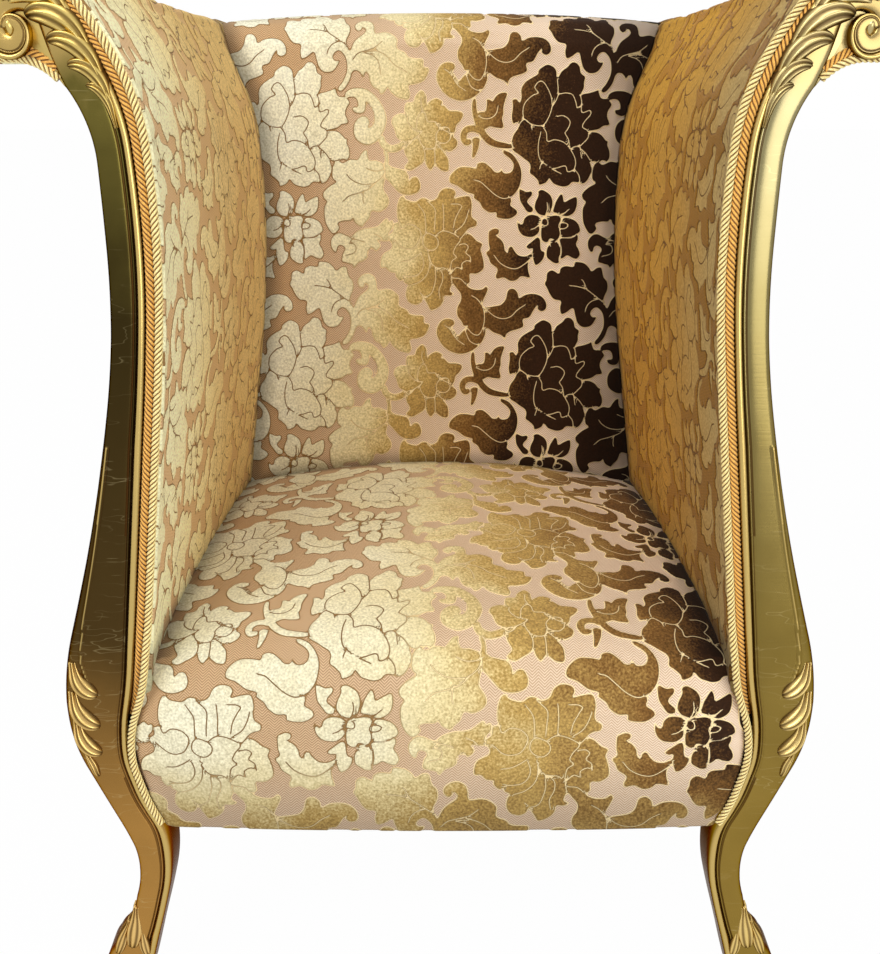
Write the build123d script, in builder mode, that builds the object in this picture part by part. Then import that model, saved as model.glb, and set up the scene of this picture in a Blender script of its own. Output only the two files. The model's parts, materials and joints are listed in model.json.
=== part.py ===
"""Baroque armchair: gilded S-curved front posts, rolled arms, tight seat and reclined back.

Millimetres. X runs across the chair, Y from the front (minus) to the back, Z up from the floor.
Profiles are lists of stations (across, height, heading): the heading is the direction of travel
in degrees from straight up, turning towards the outside, and tangent arcs join the stations.
"""
import os
from math import atan2, cos, degrees, radians, sin, sqrt, tan

from build123d import *

# Overall place in depth
POST_FACE_Y = -336.0       # front face of the front posts
POST_DEPTH = 46.0

# Fits
CLEARANCE = 0.3            # between neighbouring pieces that only lie side by side
TENON_FIT = 0.1            # round a tenon in its mortise

# Cords
CORD_DIAMETER = 7.5
CORD_SIDES = 6
CORD_FRONT_SETBACK = 1.0   # cord front behind the post face

# Seat
SEAT_DEPTH = 504.0         # post face to the back, along the crease
SEAT_CREASE_Z = 395.0      # where the seat meets the arms
SEAT_BOTTOM_Z = 212.0
SEAT_CROWN = 44.0          # middle of the seat above the crease
SEAT_FRONT_FALL = 18.0     # front of the seat top below its middle
SEAT_REAR_FALL = 16.0      # rear of the seat top below its middle
SEAT_FRONT_RISE = 12.0     # degrees, slope of the seat top at its front
SEAT_REAR_DIP = 8.0        # degrees, slope of the seat top at its rear
SEAT_ROLL = 55.0           # front edge, from the face to the top
SEAT_FRONT_PROUD = 12.0    # middle of the seat front before the posts
SEAT_FRONT_EDGE = 2.0      # sides of the seat front before the posts

# Back
RECLINE = 7.5              # degrees from upright
BACK_TOP_Z = 991.0
BACK_ARCH = 9.0            # middle of the back top above its ends
BACK_CROWN = 10.0
BACK_CROWN_FADE = 0.8      # share of the crown lost towards the arms
BACK_ROLL = 24.0           # front top edge, from the face to the top
BACK_PAD = 55.0            # front of the back to the back posts
BACK_TAIL_Z = 305.0        # lower edge of the back pad, behind the seat

# Upholstery
COVER = 2.0                # velvet cover
PAD_CHORDS = 2             # straight chords to each arc of a padded section
PANEL_CHORDS = 1           # and of an outside panel with the cord along it
CORD_CHORDS = 5            # and of a cord beside the fabric
PAD_SECTIONS = 4           # sections of a pad on each side of its middle
ARM_PAD = 15.0             # cover and foam beside the frame
FOAM_ON_RAIL = 14.0        # before the front rail
WEBBING_WIDTH = 60.0
WEBBING_THICKNESS = 2.5
WEBBING_LAP = 16.0         # end of a strip on its rail or post
HESSIAN_THICKNESS = 1.5
PANEL_THICKNESS = 5.0      # outside panels, board and fabric
PANEL_FRONT_RISE = 11.0    # panel above the armpit at the front
PANEL_REAR_RISE = 18.0     # panel above the armpit at the rear
DUST_COVER_THICKNESS = 1.2

# Arm, front section
FRONT_CREASE_X = 283.0
FRONT_BEND_X = 253.0
FRONT_BEND_Z = 638.0
FRONT_WAIST_X = 239.0
FRONT_WAIST_Z = 815.0
FRONT_SHOULDER_X = 261.0
FRONT_SHOULDER_Z = 954.0
FRONT_SHOULDER_LEAN = 27.0
FRONT_ROLL_X = 345.0
FRONT_ROLL_Z = 1030.0
FRONT_ROLL_OUT_X = 395.0
FRONT_ROLL_OUT_Z = 987.0
FRONT_ROLL_UNDER_X = 356.0
FRONT_ROLL_UNDER_Z = 949.0
FRONT_TUCK_X = 303.0       # where the cover ends under the roll, over the outside panel

# Arm, rear section
REAR_CREASE_X = 251.0
REAR_BEND_X = 230.0
REAR_BEND_Z = 564.0
REAR_WAIST_X = 220.0
REAR_WAIST_Z = 728.0
REAR_SHOULDER_X = 250.0
REAR_SHOULDER_DROP = 71.0  # below the top of the back
REAR_SHOULDER_LEAN = 26.0
REAR_ROLL_X = 290.0
REAR_ROLL_DROP = 7.0
REAR_ROLL_OUT_X = 333.0
REAR_ROLL_OUT_DROP = 38.0
REAR_ROLL_UNDER_X = 312.0
REAR_ROLL_UNDER_DROP = 64.0
REAR_TUCK_X = 300.0
ARM_TAIL_Z = 330.0         # lower edge of the arm pads, beside the seat

# Outside of the arm, rear section
OUTER_ARMPIT_X = 300.0
OUTER_ARMPIT_DROP = 86.0   # below the top of the back
OUTER_ARMPIT_LEAN = 8.0
OUTER_WAIST_X = 292.0
OUTER_WAIST_Z = 740.0
OUTER_FLANK_X = 298.0
OUTER_FLANK_Z = 560.0
OUTER_FLANK_LEAN = 3.0
OUTER_HIP_X = 303.0
OUTER_HIP_Z = 400.0
OUTER_FOOT_X = 297.0
OUTER_FOOT_LEAN = 3.0

# Front post, outer edge from the scroll to the foot
POST_WAIST_WIDTH = 32.5
POST_WAIST_Z = 800.0
ARMPIT_X = 307.0
ARMPIT_Z = 930.0
ARMPIT_LEAN = 34.5
FLANK_X = 331.0
FLANK_Z = 508.0
FLANK_LEAN = 14.5
HIP_X = 365.0
HIP_Z = 340.0
THIGH_X = 329.0
THIGH_LEAN = 21.0
ANKLE_X = 315.0
ANKLE_Z = 155.0
SHANK_X = 333.0
SHANK_Z = 84.0
SHANK_LEAN = 24.0
TOE_X = 366.0
TOE_Z = 26.0
TOE_SOLE_X = 346.0

# Front post, inner edge from the foot to the seat
HEEL_X = 317.0
SHIN_X = 297.0
SHIN_Z = 80.0
SHIN_LEAN = 15.5
ANKLE_WIDTH = 35.0
ANKLE_INNER_Z = 172.0
CORNER_X = 288.0           # lower corner of the seat front
CORNER_Z = 213.0
CORNER_LEAN = 26.0
THIGH_INNER_X = 303.0
THIGH_INNER_Z = 251.0
THIGH_INNER_LEAN = 15.0
HIP_INNER_X = 311.5
HIP_INNER_Z = 297.0

# Carved front of the post
POST_BEVEL = 6.0           # bevel of the front edges
VOLUTE_X = 358.0
VOLUTE_Z = 983.0
VOLUTE_RADIUS = 20.0
VOLUTE_PROUD = 8.0
VOLUTE_BEVEL = 4.0

# Back posts and rear legs
BACK_POST_X = 246.0        # inner face
BACK_POST_WIDTH = 36.0
BACK_POST_DEPTH = 40.0
REAR_FOOT_BACK = 58.0      # rear foot behind the knee
REAR_FOOT_DEPTH = 32.0
REAR_LEG_LEAN = 36.0
REAR_KNEE_Z = 150.0

# Rails
RAIL_BOTTOM_Z = 220.0
RAIL_HEIGHT = 52.0
RAIL_THICKNESS = 25.0
TENON_LENGTH = 14.0
TENON_THICKNESS = 10.0
TENON_SHOULDER = 9.0
FRONT_TENON_SETBACK = 4.0  # keeps the front tenon clear of the side tenon
SIDE_RAIL_FRONT_X = 298.0  # inner face at the front post
SIDE_RAIL_REAR_X = 254.0   # inner face at the back post
SIDE_RAIL_THICKNESS = 20.0
SIDE_TENON_OUTSET = 3.0    # front tenon outside the middle of the side rail, deeper in the post
REAR_RAIL_SETBACK = 8.0    # rear rail behind the front of the back posts
CREST_DROP = 28.0          # crest rail below the top of the back
BACK_RAIL_HEIGHT = 45.0
BACK_RAIL_THICKNESS = 28.0
LOWER_BACK_RAIL_Z = 425.0
ARM_RAIL_WIDTH = 34.0
ARM_RAIL_HEIGHT = 34.0
ARM_RAIL_DROP = 16.0       # arm top rail below the top of the roll
TACK_RAIL_THICKNESS = 18.0
TACK_RAIL_HEIGHT = 40.0

# Small fittings
CORNER_BLOCK_LEG = 62.0
CORNER_BLOCK_HEIGHT = 36.0
GLIDE_HEIGHT = 4.0
GLIDE_DIAMETER = 24.0
GLIDE_SIDES = 12
SEAT_STRIPS = 5            # webbing strips each way
SEAT_STRIP_PITCH = 92.0
BACK_STRIPS = 5

# Places worked out from the sizes above
CORDS = 2 * CORD_DIAMETER
CORD_Y = POST_FACE_Y + CORD_FRONT_SETBACK + CORD_DIAMETER / 2
PAD_FRONT_Y = CORD_Y + CORD_DIAMETER / 2 + CLEARANCE
POST_REAR_Y = POST_FACE_Y + POST_DEPTH
CREASE_Y = POST_FACE_Y + SEAT_DEPTH
BACK_FRAME = BACK_PAD + BACK_POST_DEPTH
CREST_TOP_Z = BACK_TOP_Z - CREST_DROP
REAR_SHOULDER_Z = BACK_TOP_Z - REAR_SHOULDER_DROP
REAR_ROLL_Z = BACK_TOP_Z - REAR_ROLL_DROP
REAR_ROLL_OUT_Z = BACK_TOP_Z - REAR_ROLL_OUT_DROP
REAR_ROLL_UNDER_Z = BACK_TOP_Z - REAR_ROLL_UNDER_DROP
RAIL_TOP_Z = RAIL_BOTTOM_Z + RAIL_HEIGHT
RAIL_MIDDLE_Z = RAIL_BOTTOM_Z + RAIL_HEIGHT / 2
RAIL_TENON_HEIGHT = RAIL_HEIGHT - 2 * TENON_SHOULDER
FRONT_RAIL_Y = POST_FACE_Y + FOAM_ON_RAIL
CROSS_STRIP_Z = RAIL_TOP_Z
LONG_STRIP_Z = CROSS_STRIP_Z + WEBBING_THICKNESS
HESSIAN_Z = LONG_STRIP_Z + WEBBING_THICKNESS
SEAT_FOAM_Z = HESSIAN_Z + HESSIAN_THICKNESS
WIDE = 2 * FRONT_ROLL_OUT_X
TALL = 2 * FRONT_ROLL_Z
DEEP = 2 * SEAT_DEPTH
STRAIGHT = 1e-6            # sine under which a span counts as straight
OUT, DOWN, IN = 90.0, 180.0, 270.0   # headings, with straight up as zero


def travel(heading):
    """Unit direction of a heading, across and up."""
    return Vector(sin(radians(heading)), cos(radians(heading)))


def smooth_edge(start, end, leave, chords):
    """One arc that leaves start along a direction, or a line where they agree; gives its end direction."""
    chord = (end - start).normalized()
    if abs(chord.X * leave.Y - chord.Y * leave.X) < STRAIGHT:
        Line(start, end)
    elif chords:
        arc = TangentArc(start, end, tangent=leave, mode=Mode.PRIVATE)
        Polyline(*[arc @ (step / chords) for step in range(chords + 1)])
    else:
        TangentArc(start, end, tangent=leave)
    return chord * (2 * chord.dot(leave)) - leave


def smooth_path(stations, chords=0):
    """Tangent arcs through the stations, two to a span, or two lines where a span is straight.

    With chords each arc is drawn as that many straight chords.
    """
    for (x0, z0, heading0), (x1, z1, heading1) in zip(stations, stations[1:]):
        start = Vector(x0, z0)
        end = Vector(x1, z1)
        leave = travel(heading0)
        arrive = travel(heading1)
        span = end - start
        along = span.dot(leave + arrive)
        bend = 2 * (1 - leave.dot(arrive))
        if bend < STRAIGHT:
            reach = span.dot(span) / (2 * along)
        else:
            reach = (sqrt(along**2 + bend * span.dot(span)) - along) / bend
        middle = (start + end + (leave - arrive) * reach) / 2
        turned = smooth_edge(start, middle, leave, chords)
        smooth_edge(middle, end, turned, chords)


def shifted(stations, amount):
    """The same line moved sideways, to the right of its travel."""
    return [(x + amount * travel(h).Y, z - amount * travel(h).X, h) for x, z, h in stations]


def led_in(stations, length):
    """The same line, begun earlier by a straight length."""
    x, z, h = stations[0]
    return [(x - length * travel(h).X, z - length * travel(h).Y, h)] + stations


def turned_back(stations):
    """The same line travelled the other way."""
    return [(x, z, h + DOWN) for x, z, h in reversed(stations)]


def band_face(plane, stations, outer, inner, chords):
    """Face between two lines that run beside the stations."""
    outer_line = shifted(stations, outer)
    inner_line = shifted(stations, inner)
    with BuildSketch(plane) as face:
        with BuildLine():
            smooth_path(outer_line, chords)
            Line(outer_line[-1][:2], inner_line[-1][:2])
            smooth_path(turned_back(inner_line), chords)
            Line(inner_line[0][:2], outer_line[0][:2])
        make_face()
    return face.sketch


def ring_face(plane, stations, *corners, chords=0):
    """Face bounded by a smooth line and then by straight edges through the corners."""
    with BuildSketch(plane) as face:
        with BuildLine():
            smooth_path(stations, chords)
            Polyline(stations[-1][:2], *corners, stations[0][:2])
        make_face()
    return face.sketch


def front_plane(y):
    """Upright plane across the chair at depth y, with across and height as its axes."""
    return Plane.XZ.offset(-y)


def back_depth(z, behind):
    """Depth of a point of the reclined back at height z, so far behind its front."""
    return CREASE_Y + (z - SEAT_CREASE_Z) * tan(radians(RECLINE)) + behind / cos(radians(RECLINE))


def reclined_plane(behind):
    """Plane of the back, so far behind its front, with across and slant height as its axes."""
    tilt = radians(RECLINE)
    return Plane((0, back_depth(0, behind), 0), x_dir=(1, 0, 0), z_dir=(0, -cos(tilt), sin(tilt)))


def on_slant(z):
    """Slant height of a point at height z on a plane of the back."""
    return z / cos(radians(RECLINE))


def slanted(stations):
    """Stations given by height, on the slant of the back."""
    return [(x, on_slant(z), h) for x, z, h in stations]


def block(low, high, mode=Mode.ADD):
    """Box between two corners."""
    centre = tuple((a + b) / 2 for a, b in zip(low, high))
    size = [b - a for a, b in zip(low, high)]
    with Locations(centre):
        Box(*size, mode=mode)


def tenon(middle, size, fit=0.0, mode=Mode.ADD):
    """Tenon about its middle, or with a fit its mortise."""
    low = [m - s / 2 - fit for m, s in zip(middle, size)]
    high = [m + s / 2 + fit for m, s in zip(middle, size)]
    block(low, high, mode)


def mortise(middle, size):
    """Mortise for a tenon."""
    tenon(middle, size, TENON_FIT, Mode.SUBTRACT)


def mirrored(piece):
    """The piece on the other side of the chair."""
    with BuildPart() as other:
        mirror(piece.part, about=Plane.YZ)
    return other


def cut_away(*pieces):
    """Cuts finished pieces out of the one being built."""
    for piece in pieces:
        add(piece.part, mode=Mode.SUBTRACT)


# Lines of the arms and posts

def arm_line(crease, bend, waist, shoulder, roll, roll_out, roll_under, tail_z):
    """Fabric line of an arm: straight rise, waist, shoulder, and the roll at the top."""
    lean = degrees(atan2(crease[0] - bend[0], bend[1] - crease[1]))
    tail_x = crease[0] + (crease[1] - tail_z) * tan(radians(lean))
    return [
        (tail_x, tail_z, -lean),
        (*bend, -lean),
        (*waist, 0),
        shoulder,
        (*roll, OUT),
        (*roll_out, DOWN),
        (*roll_under, IN),
    ]


def front_arm_line(tail_z):
    """Fabric line of the arm at the front."""
    return arm_line(
        (FRONT_CREASE_X, SEAT_CREASE_Z),
        (FRONT_BEND_X, FRONT_BEND_Z),
        (FRONT_WAIST_X, FRONT_WAIST_Z),
        (FRONT_SHOULDER_X, FRONT_SHOULDER_Z, FRONT_SHOULDER_LEAN),
        (FRONT_ROLL_X, FRONT_ROLL_Z),
        (FRONT_ROLL_OUT_X, FRONT_ROLL_OUT_Z),
        (FRONT_ROLL_UNDER_X, FRONT_ROLL_UNDER_Z),
        tail_z,
    )


def rear_arm_line(tail_z):
    """Fabric line of the arm at the rear, on the slant of the back."""
    return arm_line(
        (REAR_CREASE_X, on_slant(SEAT_CREASE_Z)),
        (REAR_BEND_X, on_slant(REAR_BEND_Z)),
        (REAR_WAIST_X, on_slant(REAR_WAIST_Z)),
        (REAR_SHOULDER_X, on_slant(REAR_SHOULDER_Z), REAR_SHOULDER_LEAN),
        (REAR_ROLL_X, on_slant(REAR_ROLL_Z)),
        (REAR_ROLL_OUT_X, on_slant(REAR_ROLL_OUT_Z)),
        (REAR_ROLL_UNDER_X, on_slant(REAR_ROLL_UNDER_Z)),
        on_slant(tail_z),
    )


arm_top = front_arm_line(SEAT_CREASE_Z)
post_inner = [
    (HEEL_X, GLIDE_HEIGHT, -SHIN_LEAN),
    (SHIN_X, SHIN_Z, -SHIN_LEAN),
    (ANKLE_X - ANKLE_WIDTH, ANKLE_INNER_Z, 0),
    (CORNER_X, CORNER_Z, CORNER_LEAN),
    (THIGH_INNER_X, THIGH_INNER_Z, THIGH_INNER_LEAN),
    (HIP_INNER_X, HIP_INNER_Z, 0),
]
post_outer = [
    (ARMPIT_X, ARMPIT_Z, DOWN + ARMPIT_LEAN),
    (FRONT_WAIST_X + CORDS + POST_WAIST_WIDTH, POST_WAIST_Z, DOWN),
    (FLANK_X, FLANK_Z, DOWN - FLANK_LEAN),
    (HIP_X, HIP_Z, DOWN),
    (THIGH_X, SEAT_BOTTOM_Z, DOWN + THIGH_LEAN),
]
post_foot = [
    (ANKLE_X, ANKLE_Z, DOWN),
    (SHANK_X, SHANK_Z, DOWN - SHANK_LEAN),
    (TOE_X, TOE_Z, DOWN),
    (TOE_SOLE_X, GLIDE_HEIGHT, IN),
]
post_outline = post_inner + shifted(arm_top, CORDS) + post_outer + post_foot
outer_rear_line = slanted(
    [
        (OUTER_ARMPIT_X, BACK_TOP_Z - OUTER_ARMPIT_DROP, DOWN + OUTER_ARMPIT_LEAN),
        (OUTER_WAIST_X, OUTER_WAIST_Z, DOWN),
        (OUTER_FLANK_X, OUTER_FLANK_Z, DOWN - OUTER_FLANK_LEAN),
        (OUTER_HIP_X, OUTER_HIP_Z, DOWN),
        (OUTER_FOOT_X, SEAT_BOTTOM_Z, DOWN + OUTER_FOOT_LEAN),
    ]
)
gold_line = shifted(post_inner[3:], -CORD_DIAMETER / 2) + shifted(arm_top, CORD_DIAMETER / 2)
bronze_line = shifted(arm_top, 3 * CORD_DIAMETER / 2)
edge_line = shifted(post_outer, CORD_DIAMETER / 2 + CLEARANCE)

# Back posts in side view, from the rear foot up the front edge and down the rear edge
knee_bend = (SEAT_BOTTOM_Z - REAR_KNEE_Z) * tan(radians(RECLINE / 2))
knee_y = back_depth(SEAT_BOTTOM_Z, BACK_PAD) - knee_bend
rear_foot_y = knee_y + REAR_FOOT_BACK
rail_end_y = back_depth(RAIL_MIDDLE_Z, BACK_PAD)
rear_rail_y = rail_end_y + REAR_RAIL_SETBACK
back_post_outline = [
    (rear_foot_y, GLIDE_HEIGHT, -REAR_LEG_LEAN),
    (knee_y, REAR_KNEE_Z, 0),
    (back_depth(SEAT_BOTTOM_Z, BACK_PAD), SEAT_BOTTOM_Z, RECLINE),
    (back_depth(CREST_TOP_Z, BACK_PAD), CREST_TOP_Z, RECLINE),
]
back_post_rear = [
    (back_depth(CREST_TOP_Z, BACK_FRAME), CREST_TOP_Z, DOWN + RECLINE),
    (back_depth(SEAT_BOTTOM_Z, BACK_FRAME), SEAT_BOTTOM_Z, DOWN + RECLINE),
    (knee_y + BACK_POST_DEPTH, REAR_KNEE_Z, DOWN),
    (rear_foot_y + REAR_FOOT_DEPTH, GLIDE_HEIGHT, DOWN - REAR_LEG_LEAN),
]


def side_rail_x(y):
    """Inner face of the side rail at depth y."""
    share = (y - POST_REAR_Y) / (rail_end_y - POST_REAR_Y)
    return SIDE_RAIL_FRONT_X + (SIDE_RAIL_REAR_X - SIDE_RAIL_FRONT_X) * share


# Tenons of the right side, each with its middle and its size
front_tenon = (
    (THIGH_INNER_X, FRONT_RAIL_Y + FRONT_TENON_SETBACK + TENON_THICKNESS / 2, RAIL_MIDDLE_Z),
    (2 * TENON_LENGTH, TENON_THICKNESS, RAIL_TENON_HEIGHT),
)
side_tenon_size = (TENON_THICKNESS, 2 * TENON_LENGTH, RAIL_TENON_HEIGHT)
side_tenon_x = SIDE_RAIL_FRONT_X + SIDE_RAIL_THICKNESS / 2 + SIDE_TENON_OUTSET
side_front_tenon = ((side_tenon_x, POST_REAR_Y, RAIL_MIDDLE_Z), side_tenon_size)
side_rear_tenon = ((SIDE_RAIL_REAR_X + SIDE_RAIL_THICKNESS / 2, rail_end_y, RAIL_MIDDLE_Z), side_tenon_size)
rear_tenon = (
    (BACK_POST_X, rear_rail_y + RAIL_THICKNESS / 2, RAIL_MIDDLE_Z),
    (2 * TENON_LENGTH, TENON_THICKNESS, RAIL_TENON_HEIGHT),
)
back_rail_middle = (BACK_POST_DEPTH - BACK_RAIL_THICKNESS) / 2 + BACK_RAIL_THICKNESS / 2 + BACK_PAD


def back_tenon(top_z):
    """Tenon of a back rail whose top is at top_z."""
    z = top_z - BACK_RAIL_HEIGHT / 2
    height = BACK_RAIL_HEIGHT - 2 * TENON_SHOULDER
    return (BACK_POST_X, back_depth(z, back_rail_middle), z), (2 * TENON_LENGTH, TENON_THICKNESS, height)


arm_rail_z = FRONT_ROLL_Z - ARM_RAIL_DROP - ARM_RAIL_HEIGHT / 2
arm_tenon = (
    (FRONT_ROLL_X, POST_REAR_Y, arm_rail_z),
    (TENON_THICKNESS, 2 * TENON_LENGTH, ARM_RAIL_HEIGHT - 2 * TENON_SHOULDER),
)
lower_rail_top_z = LOWER_BACK_RAIL_Z + BACK_RAIL_HEIGHT


# Room that the posts and the arms take up, cut out of what lies between them
def post_face(grow=0.0):
    """Outline of the right front post."""
    return ring_face(front_plane(POST_FACE_Y - grow), shifted(post_outline, -grow))


def beside_arm_face(plane, line):
    """All that lies outside the fabric line of an arm."""
    edge = shifted(line[:5], -CLEARANCE)
    return ring_face(plane, edge, (edge[-1][0], TALL), (WIDE, TALL), (WIDE, edge[0][1]), chords=PAD_CHORDS)


with BuildPart() as right_post_room:
    extrude(post_face(CLEARANCE), amount=-(POST_DEPTH + 2 * CLEARANCE))
left_post_room = mirrored(right_post_room)

with BuildPart() as right_arm_room:
    loft(
        [
            beside_arm_face(front_plane(PAD_FRONT_Y), front_arm_line(0)),
            beside_arm_face(reclined_plane(BACK_FRAME), rear_arm_line(0)),
        ],
        ruled=True,
    )
left_arm_room = mirrored(right_arm_room)

with BuildPart() as right_cord_room:
    seat_edge = shifted(gold_line[:5], -(CORD_DIAMETER / 2 + CLEARANCE))
    cord_room = ring_face(
        front_plane(POST_FACE_Y - DEEP), seat_edge, (WIDE, seat_edge[-1][1]), (WIDE, 0), (seat_edge[0][0], 0)
    )
    extrude(cord_room, amount=-(DEEP + POST_DEPTH + CLEARANCE))
left_cord_room = mirrored(right_cord_room)
arm_rooms = (right_arm_room, left_arm_room)
cord_rooms = (right_cord_room, left_cord_room)


# Front posts: leg, hip, waist and scroll in one carved piece
with BuildPart() as right_front_post:
    extrude(post_face(), amount=-POST_DEPTH)
    front_edges = right_front_post.faces().sort_by(Axis.Y)[0].edges()
    chamfer(front_edges.filter_by(GeomType.LINE, reverse=True), POST_BEVEL)
    with BuildSketch(front_plane(POST_FACE_Y)):
        with Locations((VOLUTE_X, VOLUTE_Z)):
            Circle(VOLUTE_RADIUS)
    extrude(amount=VOLUTE_PROUD)
    chamfer(right_front_post.faces().sort_by(Axis.Y)[0].edges(), VOLUTE_BEVEL)
    mortise(*front_tenon)
    mortise(*side_front_tenon)
    mortise(*arm_tenon)
left_front_post = mirrored(right_front_post)

# Back posts: raked rear leg and reclined upright in one piece
with BuildPart() as right_back_room:
    with BuildSketch(Plane.YZ.offset(BACK_POST_X)):
        with BuildLine():
            smooth_path(back_post_outline)
            Line(back_post_outline[-1][:2], back_post_rear[0][:2])
            smooth_path(back_post_rear)
            Line(back_post_rear[-1][:2], back_post_outline[0][:2])
        make_face()
    extrude(amount=BACK_POST_WIDTH)

with BuildPart() as right_back_post:
    add(right_back_room.part)
    mortise(*side_rear_tenon)
    mortise(*rear_tenon)
    mortise(*back_tenon(CREST_TOP_Z))
    mortise(*back_tenon(lower_rail_top_z))
left_back_post = mirrored(right_back_post)

# Seat rails
with BuildPart() as front_rail:
    block(
        (-HIP_INNER_X, FRONT_RAIL_Y, RAIL_BOTTOM_Z),
        (HIP_INNER_X, FRONT_RAIL_Y + RAIL_THICKNESS, RAIL_TOP_Z),
    )
    cut_away(right_post_room, left_post_room)
    tenon(*front_tenon)
    mirror(about=Plane.YZ)

with BuildPart() as rear_rail:
    block(
        (-BACK_POST_X, rear_rail_y, RAIL_BOTTOM_Z),
        (BACK_POST_X, rear_rail_y + RAIL_THICKNESS, RAIL_TOP_Z),
    )
    tenon(*rear_tenon)
    mirror(about=Plane.YZ)

with BuildPart() as right_side_rail:
    with BuildSketch(Plane.XY.offset(RAIL_BOTTOM_Z)):
        in_post_y = rail_end_y + BACK_POST_DEPTH / 2
        with BuildLine():
            Polyline(
                (SIDE_RAIL_FRONT_X, POST_REAR_Y),
                (SIDE_RAIL_FRONT_X + SIDE_RAIL_THICKNESS, POST_REAR_Y),
                (side_rail_x(in_post_y) + SIDE_RAIL_THICKNESS, in_post_y),
                (side_rail_x(in_post_y), in_post_y),
                close=True,
            )
        make_face()
    extrude(amount=RAIL_HEIGHT)
    cut_away(right_back_room)
    tenon(*side_front_tenon)
    tenon(*side_rear_tenon)
left_side_rail = mirrored(right_side_rail)

# Rails of the back
def back_rail_block(top_z):
    """Rail between the back posts, on the slant of the back, with its tenons."""
    front = back_rail_middle - BACK_RAIL_THICKNESS / 2
    with BuildSketch(reclined_plane(front)) as face:
        with Locations((0, on_slant(top_z) - BACK_RAIL_HEIGHT / 2)):
            Rectangle(2 * BACK_POST_X, BACK_RAIL_HEIGHT)
    extrude(face.sketch, amount=-BACK_RAIL_THICKNESS)
    tenon(*back_tenon(top_z))
    mirror(about=Plane.YZ)


with BuildPart() as crest_rail:
    back_rail_block(CREST_TOP_Z)

with BuildPart() as lower_back_rail:
    back_rail_block(lower_rail_top_z)


# Rails of the arms, from the front post to the back post
def bar_face(plane, x, z, width, height):
    """Rectangle about a point of a plane."""
    with BuildSketch(plane) as face:
        with Locations((x, z)):
            Rectangle(width, height)
    return face.sketch


with BuildPart() as right_arm_rail:
    loft(
        [
            bar_face(front_plane(POST_REAR_Y), FRONT_ROLL_X, arm_rail_z, ARM_RAIL_WIDTH, ARM_RAIL_HEIGHT),
            bar_face(
                reclined_plane(BACK_PAD),
                REAR_ROLL_X,
                on_slant(REAR_ROLL_Z - ARM_RAIL_DROP - ARM_RAIL_HEIGHT / 2),
                ARM_RAIL_WIDTH,
                ARM_RAIL_HEIGHT,
            ),
        ],
        ruled=True,
    )
    tenon(*arm_tenon)
left_arm_rail = mirrored(right_arm_rail)

with BuildPart() as right_tack_rail:
    tack_z = ARM_TAIL_Z + TACK_RAIL_HEIGHT / 2
    tack_shift = ARM_PAD + TACK_RAIL_THICKNESS / 2 + CLEARANCE
    tack_front_x = shifted(front_arm_line(tack_z), tack_shift)[0][0]
    tack_rear_x = shifted(rear_arm_line(tack_z), tack_shift)[0][0]
    loft(
        [
            bar_face(front_plane(POST_REAR_Y), tack_front_x, tack_z, TACK_RAIL_THICKNESS, TACK_RAIL_HEIGHT),
            bar_face(
                reclined_plane(BACK_PAD), tack_rear_x, on_slant(tack_z), TACK_RAIL_THICKNESS, TACK_RAIL_HEIGHT
            ),
        ],
        ruled=True,
    )
left_tack_rail = mirrored(right_tack_rail)

# Corner blocks of the seat frame
front_block_y = FRONT_RAIL_Y + RAIL_THICKNESS
with BuildPart() as corner_blocks:
    with BuildSketch(Plane.XY.offset(RAIL_MIDDLE_Z - CORNER_BLOCK_HEIGHT / 2)):
        with BuildLine():
            Polyline(
                (side_rail_x(front_block_y) - CORNER_BLOCK_LEG, front_block_y),
                (side_rail_x(front_block_y), front_block_y),
                (side_rail_x(front_block_y + CORNER_BLOCK_LEG), front_block_y + CORNER_BLOCK_LEG),
                close=True,
            )
        make_face()
        with BuildLine():
            Polyline(
                (side_rail_x(rear_rail_y) - CORNER_BLOCK_LEG, rear_rail_y),
                (side_rail_x(rear_rail_y), rear_rail_y),
                (side_rail_x(rear_rail_y - CORNER_BLOCK_LEG), rear_rail_y - CORNER_BLOCK_LEG),
                close=True,
            )
        make_face()
        mirror(about=Plane.YZ)
    extrude(amount=CORNER_BLOCK_HEIGHT)
    cut_away(right_post_room, left_post_room, right_back_post, left_back_post, right_side_rail, left_side_rail)

# Webbing, hessian and dust cover
strip_middle_y = (FRONT_RAIL_Y + rear_rail_y + RAIL_THICKNESS) / 2
strip_reach = rear_rail_y + RAIL_THICKNESS - FRONT_RAIL_Y
with BuildPart() as seat_webbing_crosswise:
    for step in range(SEAT_STRIPS):
        strip_y = strip_middle_y + (step - (SEAT_STRIPS - 1) / 2) * SEAT_STRIP_PITCH
        half_reach = side_rail_x(strip_y) + WEBBING_LAP
        block(
            (-half_reach, strip_y - WEBBING_WIDTH / 2, CROSS_STRIP_Z),
            (half_reach, strip_y + WEBBING_WIDTH / 2, LONG_STRIP_Z),
        )

with BuildPart() as seat_webbing_lengthwise:
    with BuildSketch(Plane.XY.offset(LONG_STRIP_Z)):
        with Locations((0, strip_middle_y)):
            with GridLocations(SEAT_STRIP_PITCH, 0, SEAT_STRIPS, 1):
                Rectangle(WEBBING_WIDTH, strip_reach)
    extrude(amount=WEBBING_THICKNESS)


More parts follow.
